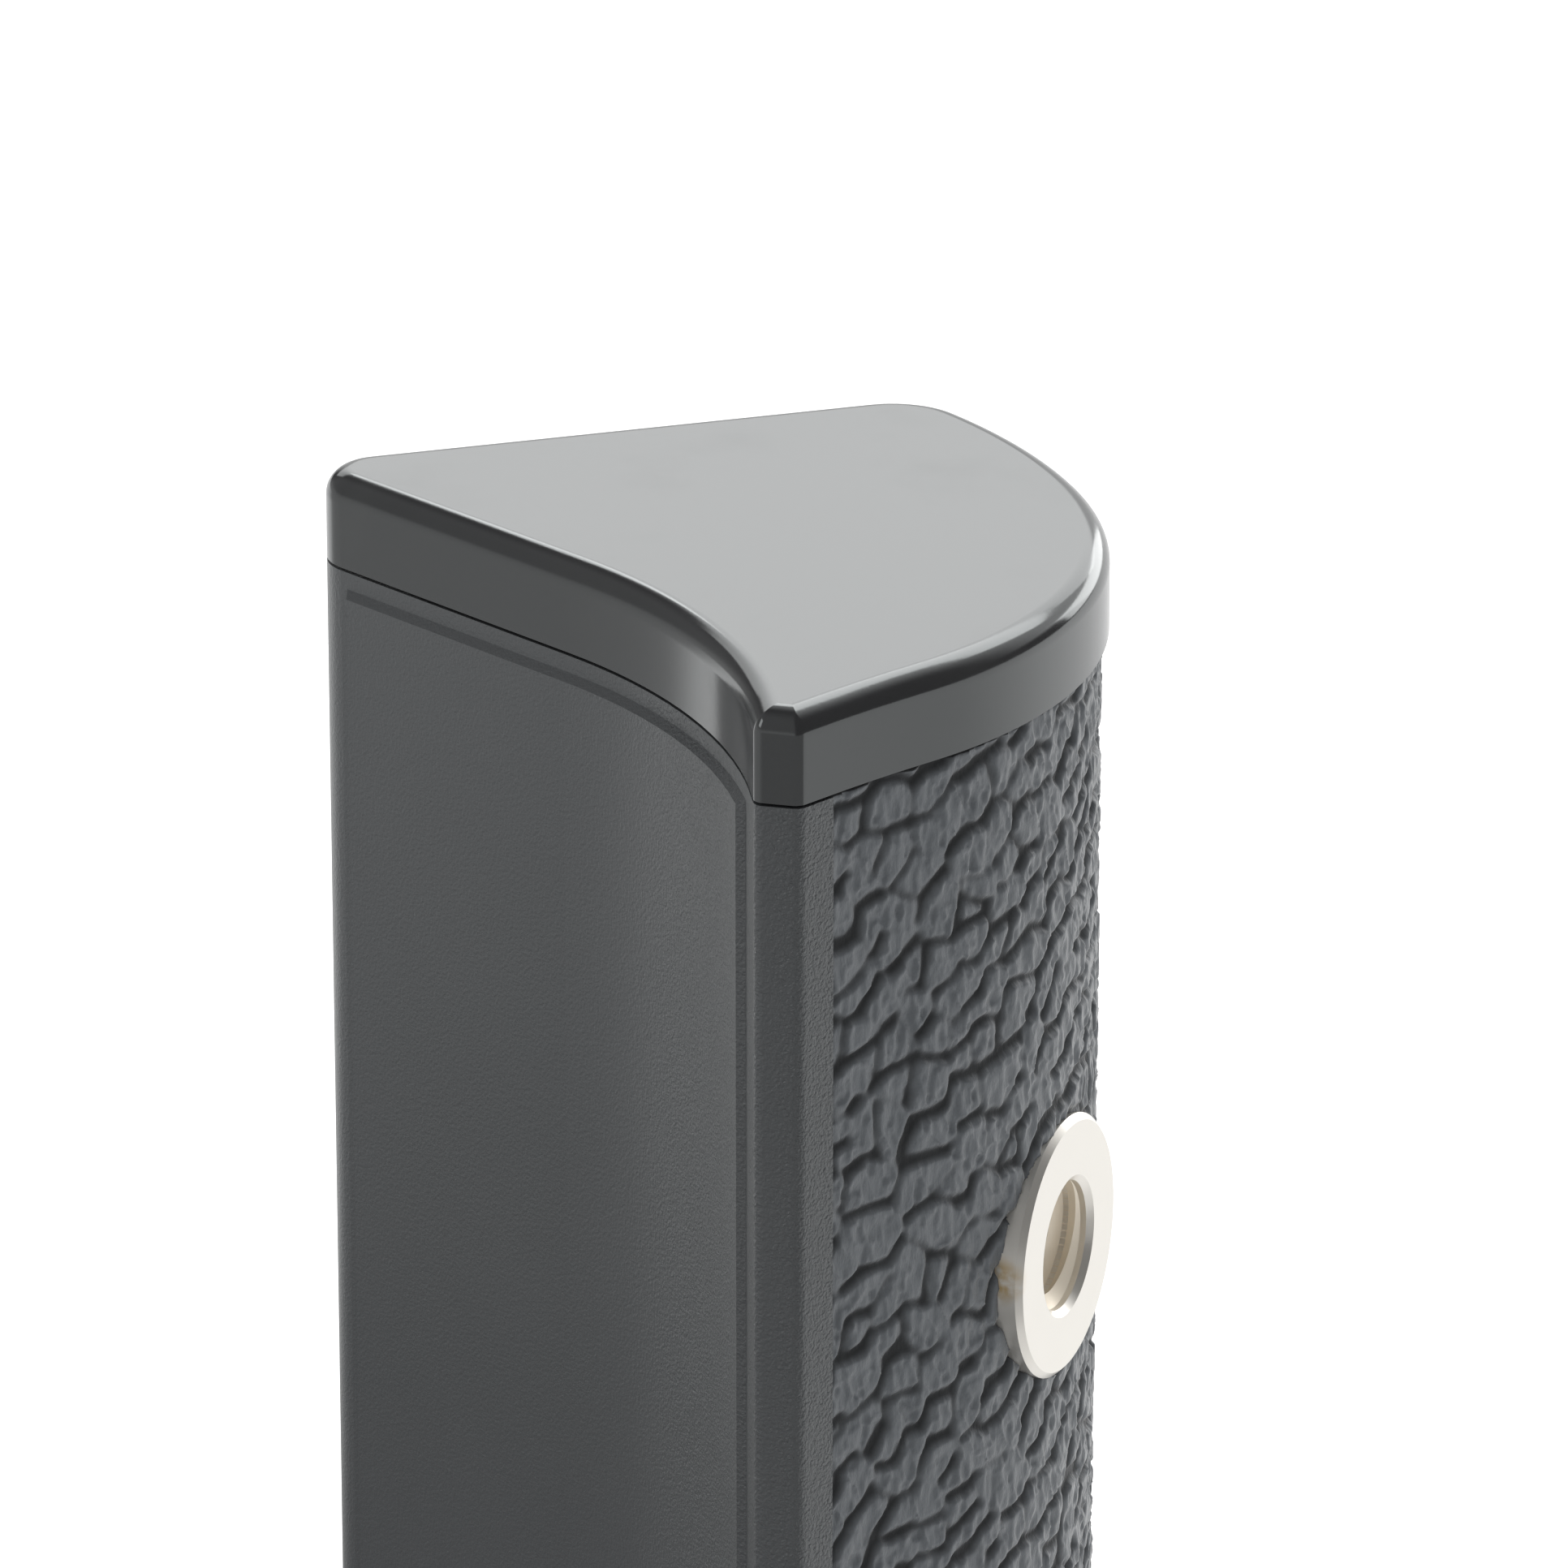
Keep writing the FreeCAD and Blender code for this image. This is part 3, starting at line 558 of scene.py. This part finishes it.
def outward(outline):
    """At each point of a closed outline, the direction outwards and the length of a mitre of 1."""
    before = outline - np.roll(outline, 1, axis=0)
    after = np.roll(outline, -1, axis=0) - outline
    before /= np.linalg.norm(before, axis=1)[:, None]
    after /= np.linalg.norm(after, axis=1)[:, None]
    turn = before + after
    turn /= np.linalg.norm(turn, axis=1)[:, None]
    outwards = np.stack([turn[:, 1], -turn[:, 0]], axis=1)
    if (outwards * (outline - outline.mean(0))).sum() < 0:
        outwards = -outwards
    return outwards, 1 / (turn * after).sum(1)


def round_rings(outline, start, end):
    """Points and normals of the rings from the top of the wall to the rim of the end face."""
    outwards, mitre = outward(outline)
    radius, up = abs(end - start), np.sign(end)
    points, normals = [], []
    for step in range(ROUND_STEPS + 1):
        angle = math.pi / 2 * step / ROUND_STEPS
        inset = radius * (1 - math.cos(angle))
        ring = outline - outwards * (mitre * inset)[:, None]
        for i, point in enumerate(outline):
            place = drawn_out(point / MM, inset / MM)
            if place is not None:
                ring[i] = place * MM
        height = start + up * radius * math.sin(angle)
        points += [(x, y, height) for x, y in ring]
        normals += [(x * math.cos(angle), y * math.cos(angle), up * math.sin(angle)) for x, y in outwards]
    return points, normals


# %% Put a cap together
def face_up(points, face):
    """The sign of a flat face's normal in z."""
    a, b, c = (Vector(points[i]) for i in face)
    return (b - a).cross(c - a).z


def rounded_cap(node, name):
    packed = nodes[node].data
    low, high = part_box(node)
    up = 1 if high.z > 0 else -1
    end = high.z if up > 0 else low.z
    kept, start = kept_faces(packed, end)
    start = up * start
    corners = [[micron(packed.vertices[i].co) for i in face.vertices] for face in kept]
    wall = border_loops(corners, round(start / MICRON))[0]
    holes = border_loops(corners, round(end / MICRON))

    points, normals = kept_skin(packed, kept)
    faces = [(3 * i, 3 * i + 1, 3 * i + 2) for i in range(len(kept))]
    first, count = len(points), len(wall)
    ring_points, ring_normals = round_rings(np.array(wall)[:, :2] * MICRON, start, end)
    for step in range(ROUND_STEPS):
        for i in range(count):
            a, b = first + step * count + i, first + step * count + (i + 1) % count
            faces.append((b, a, a + count, b + count))

    rims = [[Vector(point) for point in ring_points[-count:]]]
    rims += [[Vector(point) * MICRON for point in hole] for hole in holes]
    flat_end = [tuple(point) for rim in rims for point in rim]
    shift = first + len(ring_points)
    points += ring_points + flat_end
    normals += ring_normals + [(0, 0, up)] * len(flat_end)
    for face in tessellate_polygon(rims):
        face = tuple(shift + i for i in face)
        faces.append(face if face_up(points, face) * up > 0 else face[::-1])

    cap = mesh_piece(name, points, faces, cap_black)
    cap.data.normals_split_custom_set([normals[loop.vertex_index] for loop in cap.data.loops])
    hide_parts(node)
    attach(cap, "grip")
    print(name, "round of", round(abs(end - start) / MM, 2), "mm,", len(holes), "holes,", len(faces), "faces")


rounded_cap("top_cap", "top_cap_rounded")
rounded_cap("bottom_cap", "bottom_cap_rounded")

# %% [markdown]
# ## Leather
#
# The leather is goat or a print of it: flat pebbles, one and a half to four millimetres wide, with
# dark valleys between them that are widest where they climb to the right. A bump alone would look
# painted on, because the valleys are a third of a millimetre deep and the light comes from the
# side. So the cover is a real mesh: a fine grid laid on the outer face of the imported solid, whose
# valleys are pressed in. Pebbles are the cells round scattered points, and each point of the grid
# sinks by how near it is to the border between its cell and the next.

# %% Find the outer curve of the leather cover
LOOKS = 7200
OUTSIDE = 0.05
# a point inside the grip and below the bush, from which the palm is looked at all round
palm_middle = Vector((-0.003, -0.013, -0.03))
cover = nodes["leather_cover"]
cover_low, cover_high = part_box("leather_cover")
solid = BVHTree.FromPolygons([v.co for v in cover.data.vertices], [p.vertices for p in cover.data.polygons])
outer = []
for angle in np.linspace(-math.pi, math.pi, LOOKS):
    away = Vector((math.cos(angle), math.sin(angle), 0))
    hit, normal, _, _ = solid.ray_cast(palm_middle + away * OUTSIDE, -away)
    if hit and (hit - palm_middle).dot(away) > 0 and normal.dot(away) > 0.5:
        outer.append((hit.x, hit.y))
outer = np.array(outer)
walked = np.concatenate([[0], np.cumsum(np.linalg.norm(np.diff(outer, axis=0), axis=1))])
palm_round = walked[-1]
print("the cover is", round(palm_round / MM, 2), "mm round the palm, with its cut edge at the nose")

# %% Lay a grid on it
STEP = 0.000115
NOSE_GAP = 0.00034
EDGE_GAP = 0.00010
columns = int(palm_round / STEP) + 1
rows = int((cover_high.z - cover_low.z) / STEP) + 1
round_palm = np.linspace(NOSE_GAP, palm_round - EDGE_GAP, columns)
curve = np.stack([np.interp(round_palm, walked, outer[:, i]) for i in (0, 1)], axis=1)
tangent = np.gradient(curve, axis=0)
tangent /= np.linalg.norm(tangent, axis=1)[:, None]
outwards = np.stack([tangent[:, 1], -tangent[:, 0]], axis=1)
heights = np.linspace(cover_low.z + EDGE_GAP, cover_high.z - EDGE_GAP, rows)
U, W = np.meshgrid(round_palm / MM, heights / MM)
print("grid of", columns, "by", rows)

# %% Scatter the pebbles on a slanted lattice
ALONG_ROW = np.array([1.75, 0.66])
UP_ROW = np.array([-0.5, 2.05])
LATTICE = 90
STRAY = 0.42
MISSING_SHARE = 0.10
chance = np.random.default_rng(7)
stray = chance.uniform(-STRAY, STRAY, (LATTICE, LATTICE, 2))
missing = chance.uniform(0, 1, (LATTICE, LATTICE)) < MISSING_SHARE
kind = chance.uniform(0, 1, (LATTICE, LATTICE))
print("pebbles left out, so that their neighbours grow:", int(missing.sum()), "of", missing.size)

# %% Bend the lattice with soft clouds
def clouds(u, w, size, seed):
    """Smooth random values from -1 to 1 that change over about size millimetres."""
    table = np.random.default_rng(seed).uniform(-1, 1, (256, 256))
    x, y = u / size + 60, w / size + 90
    i, j = np.floor(x).astype(int), np.floor(y).astype(int)
    s, t = x - i, y - j
    s, t = s * s * (3 - 2 * s), t * t * (3 - 2 * t)

    def corner(a, b):
        return table[(i + a) % 256, (j + b) % 256]

    return ((corner(0, 0) * (1 - s) + corner(1, 0) * s) * (1 - t)
            + (corner(0, 1) * (1 - s) + corner(1, 1) * s) * t)


WIDE_BEND, WIDE_SIZE = 0.42, 2.6
SMALL_BEND, SMALL_SIZE = 0.13, 0.9
bent_u = U + WIDE_BEND * clouds(U, W, WIDE_SIZE, 1) + SMALL_BEND * clouds(U, W, SMALL_SIZE, 2)
bent_w = W + WIDE_BEND * clouds(U, W, WIDE_SIZE, 3) + SMALL_BEND * clouds(U, W, SMALL_SIZE, 4)
back = np.linalg.inv(np.stack([ALONG_ROW, UP_ROW], axis=1))
place = np.stack([bent_u, bent_w], axis=-1) @ back.T + LATTICE / 2
cell = np.floor(place).astype(int)
print("bent by up to", round(float(np.hypot(bent_u - U, bent_w - W).max()), 2), "mm")

# %% Find the pebble that each point belongs to
def neighbours():
    """The 25 pebble points round each grid point: their offset, which are missing, and their kind."""
    for di in range(-2, 3):
        for dj in range(-2, 3):
            i, j = (cell[..., 0] + di) % LATTICE, (cell[..., 1] + dj) % LATTICE
            offset = (cell + [di, dj] + 0.5 + stray[i, j] - place) @ np.stack([ALONG_ROW, UP_ROW])
            yield offset, missing[i, j], kind[i, j]


NEVER = 1e6
near = np.full(U.shape, np.inf)
home = np.zeros(U.shape + (2,))
home_kind = np.zeros(U.shape)
for offset, gone, own in neighbours():
    far = np.hypot(offset[..., 0], offset[..., 1]) + NEVER * gone
    closer = far < near
    near = np.where(closer, far, near)
    home = np.where(closer[..., None], offset, home)
    home_kind = np.where(closer, own, home_kind)
print("pebble points lie up to", round(float(near.max()), 2), "mm away")

# %% Find how near the border of its pebble each point is
FLANK = 0.16
NARROWEST, WIDENING = 0.02, 0.20
SHALLOWEST = 0.10
CLIMB_X, CLIMB_Y = 0.50, 0.87
valley = np.zeros(U.shape)
for offset, gone, own in neighbours():
    apart = offset - home
    gap = np.maximum(np.hypot(apart[..., 0], apart[..., 1]), 1e-6)
    border = ((offset ** 2).sum(-1) - (home ** 2).sum(-1)) / (2 * gap)
    # valleys that climb to the right are the wide ones
    climb = np.abs(apart[..., 0] * CLIMB_X - apart[..., 1] * CLIMB_Y) / gap
    luck = (own + home_kind) % 1
    width = (NARROWEST + WIDENING * climb ** 2) * (0.25 + luck)
    depth = np.clip(1.3 * climb + 1.2 * luck - 0.5, SHALLOWEST, 1)
    slope = np.clip((width + FLANK - border) / FLANK, 0, 1)
    pressed = depth * slope * slope * (3 - 2 * slope)
    other = (gap > 1e-3) & ~gone
    valley = np.where(other, np.maximum(valley, pressed), valley)
print("pressed share", round(float(valley.mean()), 3))

# %% Round the corners of the pebbles
def softened(field):
    """Each value takes half of itself and half of its neighbours."""
    for axis in (0, 1):
        field = 0.5 * field + 0.25 * (np.roll(field, 1, axis) + np.roll(field, -1, axis))
    return field


# softened and then drawn sharp again, the corners come out round
SHORE, BOTTOM = 0.24, 0.74
for _ in range(5):
    valley = softened(valley)
valley = np.clip((valley - SHORE) / (BOTTOM - SHORE), 0, 1)
valley = softened(valley * valley * (3 - 2 * valley))
print("pressed share", round(float(valley.mean()), 3))

# %% Press the valleys in, and crumple the pebbles
VALLEY_DEPTH = 0.34
DEEPEST = 0.36
# how deep the flat of a pebble lies, and how much each kind of crumple adds
FLAT, RIPPLE, DENT, TOOTH, SWELL, FOLD = 0.10, 0.070, 0.20, 0.030, 0.05, 0.09
FLAT_EDGE, EDGE_RISE, EDGE_RELIEF = 0.40, 0.5, 0.1
# soft upright ripples, thin folds and a few small dents
ripple = clouds(U / 0.36, W / 1.1 + 0.3 * U, 1.0, 8)
fold = (1 - np.abs(clouds(U / 0.75 + 0.5 * W, W / 1.3, 1.0, 10))) ** 5
dent = np.clip(clouds(U / 0.45 - 0.3 * W, W / 0.7, 1.0, 11) - 0.25, 0, 1)
tooth = clouds(U / 0.25, W / 0.45 + 0.4 * U, 1.0, 12)
swell = clouds(U, W, 1.5, 9)
relief = FLAT + RIPPLE * ripple + DENT * dent + TOOTH * tooth + SWELL * swell - FOLD * fold
depth_mm = VALLEY_DEPTH * valley + (1 - valley) * relief
# beside the casting the leather lies flat
to_edge = np.minimum(U, palm_round / MM - U)
calm = np.clip((to_edge - FLAT_EDGE) / EDGE_RISE, EDGE_RELIEF, 1)
sink = np.clip(depth_mm, 0, DEEPEST) * calm * MM
points = np.stack([
    curve[:, 0] - sink * outwards[:, 0],
    curve[:, 1] - sink * outwards[:, 1],
    W * MM,
], axis=-1)
print("deepest point", round(float(sink.max()) / MM, 2), "mm")

# %% Cut the hole for the bush, its edge on the circle
def from_bush(place):
    """Each point's offset from the axis of the bush."""
    offset = place - bush_mouth
    return offset - (offset @ bush_axis)[..., None] * bush_axis


HOLE_OVERLAP = 0.1 * MM
SNAP = 0.66 * STEP
cover_points = np.array([v.co for v in cover.data.vertices])
hole = np.linalg.norm(from_bush(cover_points), axis=1).min() - HOLE_OVERLAP
offset = from_bush(points)
from_axis = np.linalg.norm(offset, axis=-1)
on_palm = (points - bush_mouth) @ bush_axis > -0.01
edge = (np.abs(from_axis - hole) < SNAP) & on_palm
points[edge] += (offset / from_axis[..., None] * (hole - from_axis)[..., None])[edge]
inside = (from_axis < hole - 0.5 * STEP) & on_palm & ~edge
print("hole radius", round(hole / MM, 3), "mm")

# %% Make the faces of the cover and find its rim
number = np.arange(rows * columns).reshape(rows, columns)
quads = np.stack([number[:-1, :-1], number[:-1, 1:], number[1:, 1:], number[1:, :-1]], axis=-1).reshape(-1, 4)
quads = quads[~inside.ravel()[quads].any(axis=1)]
sides = np.concatenate([quads[:, [a, b]] for a, b in ((0, 1), (1, 2), (2, 3), (3, 0))])
_, first, count = np.unique(np.sort(sides, axis=1), axis=0, return_index=True, return_counts=True)
rim = sides[first[count == 1]]
used = np.unique(quads)
renumber = np.full(rows * columns, -1)
renumber[used] = np.arange(len(used))
print(len(quads), "faces with", len(rim), "sides on the rim")

# %% Turn its edge down and make the cover
THICK = 0.0008
top_points = points.reshape(-1, 3)
top_normals = np.tile(np.concatenate([outwards, np.zeros((columns, 1))], axis=1), (rows, 1))
upper = top_points[rim]
lower = upper - THICK * top_normals[rim]
skirt = np.concatenate([upper[:, 0], lower[:, 0], lower[:, 1], upper[:, 1]])
skirt_faces = len(used) + np.arange(len(skirt)).reshape(4, -1).T
leather = mesh_piece("leather_skin", np.concatenate([top_points[used], skirt]),
                     np.concatenate([renumber[quads], skirt_faces]))
# the shader reads how far round and up each point lies, and how deep, and paints deep points darker as
# painted shade; the turned-down edge counts as deepest
laid_out = np.stack([U * MM, W * MM, valley], axis=-1).reshape(-1, 3)[used]
laid_out = np.concatenate([laid_out, np.tile([0, 0, 1.0], (len(skirt), 1))]).astype(np.float32)
leather.data.attributes.new("skin", "FLOAT_VECTOR", "POINT").data.foreach_set("vector", laid_out.ravel())
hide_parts("leather_cover")
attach(leather, "grip")
print("leather has", len(leather.data.polygons), "faces")

# %% [markdown]
# ## Colour of the leather, and painted shade in its valleys
#
# Grained leather is dyed black right through. Its valleys, its cut edge and a thin band along
# its edges are painted darker still, as painted shade, and made rougher, while the pebbles keep a
# lighter, glossier black of random tone. The mesh has stored how deep each point lies, so the
# shader needs no second pattern and the painted shade stays in the valleys. Creases finer than the
# grid, and pores finer still, are two bumps, one on top of the other.

# %% Leather finish
EDGE_BAND, EDGE_FADE = 0.42, 0.48
END_BAND, END_FADE = 0.12, 0.20
hide = Finish("leather")
laid = hide.add("ShaderNodeAttribute", {"attribute_name": "skin"}, output="Vector")
flat = hide.vector("MULTIPLY", laid, (1 / MM, 1 / MM, 0))
creases = hide.noise(hide.vector("MULTIPLY", flat, (1.0, 0.38, 1.0)), 0.45, 4, 0.62)
pores = hide.noise(flat, 0.16, 2, 0.5)
tone = hide.noise(flat, 1.6, 3)
across, upright = hide.part(flat, "X"), hide.part(flat, "Y")
width, foot, head = palm_round / MM, cover_low.z / MM, cover_high.z / MM
# painted shade: a dark band along each edge of the cover, where it meets the casting and the caps
painted_edge_shade = (across.between(EDGE_FADE, EDGE_BAND) + across.between(width - EDGE_FADE, width - EDGE_BAND)
        + upright.between(foot + END_FADE, foot + END_BAND)
        + upright.between(head - END_FADE, head - END_BAND))
# valleys and edge bands together set the painted shade, and the roughness
painted_shade = hide.part(laid, "Z") + 2 * painted_edge_shade
pebble_tone = hide.blend(tone, (0.070, 0.077, 0.085, 1), (0.091, 0.099, 0.108, 1))
black_hide = hide.surface(
    Base_Color=hide.blend(painted_shade, pebble_tone, grey(0.008, 0.001)),
    Roughness=0.34 + 0.10 * creases + 0.35 * painted_shade,
    IOR=1.75,
    Specular_Tint=(0.94, 0.98, 1.0, 1),
    Sheen_Weight=0.5,
    Sheen_Roughness=0.3,
    Normal=hide.bump(pores, 0.01, hide.bump(creases, 0.08)),
)
leather.data.materials.append(black_hide)

# %% [markdown]
# ## Threads
#
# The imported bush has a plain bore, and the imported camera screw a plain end, at the outer
# diameter of the thread. A screw thread is a profile that climbs as it turns, so it is made as a
# strip: at each angle the profile's points are set out, a little further along than at the angle
# before, and strips join them. Blender's Screw modifier could wind it too, but this way a cone
# trims the start, as a real tap or die leaves it. Each flank has its own points, so that it is
# smooth along the thread and sharp at its crest.

# %% Set out points round an axis and join them
AROUND = 120


def frame_of(axis):
    """Two directions square to an axis and to each other."""
    axis = Vector(axis).normalized()
    side = axis.orthogonal().normalized()
    return np.array(axis), np.array(side), np.array(axis.cross(side))


def placed(origin, axis, angle, radius, height):
    """Points on a ring's profile: radius and height are lists, in millimetres."""
    along, side, third = frame_of(axis)
    out = math.cos(angle) * side + math.sin(angle) * third
    return np.array(origin) + MM * (np.outer(radius, out) + np.outer(height, along))


def strips(rings, flip):
    """Points and faces of strips that join each ring's pairs of points with the next ring's."""
    points = np.concatenate([np.repeat(ring, 2, axis=0)[1:-1] for ring in rings])
    width = 2 * (len(rings[0]) - 1)
    faces = []
    for i in range(len(rings) - 1):
        for j in range(0, width, 2):
            a, b = i * width + j, (i + 1) * width + j
            faces.append((a, a + 1, b + 1, b) if flip else (a, b, b + 1, a + 1))
    return points, faces


# %% Wind a quarter inch thread
THREAD_RADIUS = 3.175
THREAD_DEPTH = 0.72
PITCH = 1.27
# where each corner of the profile lies, as a share of the pitch
ROOT_END, CREST_START, CREST_END, ROOT_START = 0.11, 0.44, 0.56, 0.89


def thread(origin, axis, length, inside):
    """The skin of a thread that climbs from origin along axis, with a cone where it starts."""
    root, crest = THREAD_RADIUS, THREAD_RADIUS - THREAD_DEPTH
    if not inside:
        root, crest = crest, root
    share = np.array([0.0, ROOT_END, CREST_START, CREST_END, ROOT_START, 1.0])
    shape = np.array([root, root, crest, crest, root, root])
    rings = []
    for i in range(int((length / PITCH + 1) * AROUND) + 1):
        height = np.clip((i / AROUND - 1 + share) * PITCH, 0, length)
        cone = root - height if inside else root + length - height
        radius = np.maximum(shape, cone) if inside else np.minimum(shape, cone)
        rings.append(placed(origin, axis, 2 * math.pi * i / AROUND, radius, height))
    return strips(rings, inside)


# %% Cut the bush's thread
MOUTH_CHAMFER = 0.30
BORE_CONE = 0.35
thread_nickel = bush_metal("thread_nickel", (0.86, 0.78, 0.65), 0.34, 0.35)
thread_start = bush_mouth - bush_axis * MOUTH_CHAMFER * MM
thread_skin = thread(thread_start, -bush_axis, bush["dims"]["length_mm"] - BORE_CONE, True)
bush_thread = mesh_piece("bush_thread", *thread_skin, thread_nickel)
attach(bush_thread, "grip")
print("bush thread", len(bush_thread.data.polygons), "faces")

# %% [markdown]
# ## Camera screw
#
# The screw is turned from one bar: a journal at its inner end with a groove for the clip, a seat
# for the wheel, a collar, a neck, and the thread that holds the camera. A cylinder for each step
# would leave faces inside, so one outline is turned round the axis. Its shoulders are taken from
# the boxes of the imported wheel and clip, so that they stay where those pieces sit.

# %% Turn the camera screw with its thread
def turned(origin, axis, profile):
    """The skin of a turned piece, from (radius, height) pairs in millimetres."""
    radius, height = zip(*profile)
    rings = [placed(origin, axis, 2 * math.pi * i / AROUND, radius, height) for i in range(AROUND + 1)]
    return strips(rings, False)


def joined(*skins):
    """Several skins as one."""
    points, faces, count = [], [], 0
    for some, theirs in skins:
        points.append(some)
        faces += [tuple(count + k for k in face) for face in theirs]
        count += len(some)
    return np.concatenate(points), faces


JOURNAL, CLIP_GROOVE, SEAT, COLLAR, NECK = 2.5, 2.0, 3.5, 5.0, 2.9
CORE = 2.46
JOURNAL_CHAMFER = 0.2
COLLAR_LENGTH = 1.0
NECK_END = -0.3
screw_low, screw_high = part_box("camera_screw")
wheel_low, wheel_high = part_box("thumb_wheel")
clip_low, clip_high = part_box("retaining_clip")
tail, tip = screw_low.y / MM, screw_high.y / MM
seat_end, seat_start = wheel_low.y / MM, wheel_high.y / MM
clip_end, clip_start = clip_low.y / MM, clip_high.y / MM
collar_end = seat_start + COLLAR_LENGTH
shank = turned((0, 0, 0), (0, 1, 0), [
    (0, tail), (JOURNAL - JOURNAL_CHAMFER, tail), (JOURNAL, tail + JOURNAL_CHAMFER),
    (JOURNAL, clip_end), (CLIP_GROOVE, clip_end), (CLIP_GROOVE, clip_start), (JOURNAL, clip_start),
    (JOURNAL, seat_end), (SEAT, seat_end), (SEAT, seat_start),
    (COLLAR, seat_start), (COLLAR, collar_end), (NECK, collar_end), (NECK, NECK_END),
    (CORE, NECK_END), (CORE, tip), (0, tip),
])
camera_thread = thread((0, NECK_END * MM, 0), (0, 1, 0), tip - NECK_END, False)
threaded_screw = mesh_piece("camera_screw_threaded", *joined(shank, camera_thread), finishes["zinc_steel"])
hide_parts("camera_screw")
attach(threaded_screw, "screw_set")
print("screw", len(threaded_screw.data.polygons), "faces")
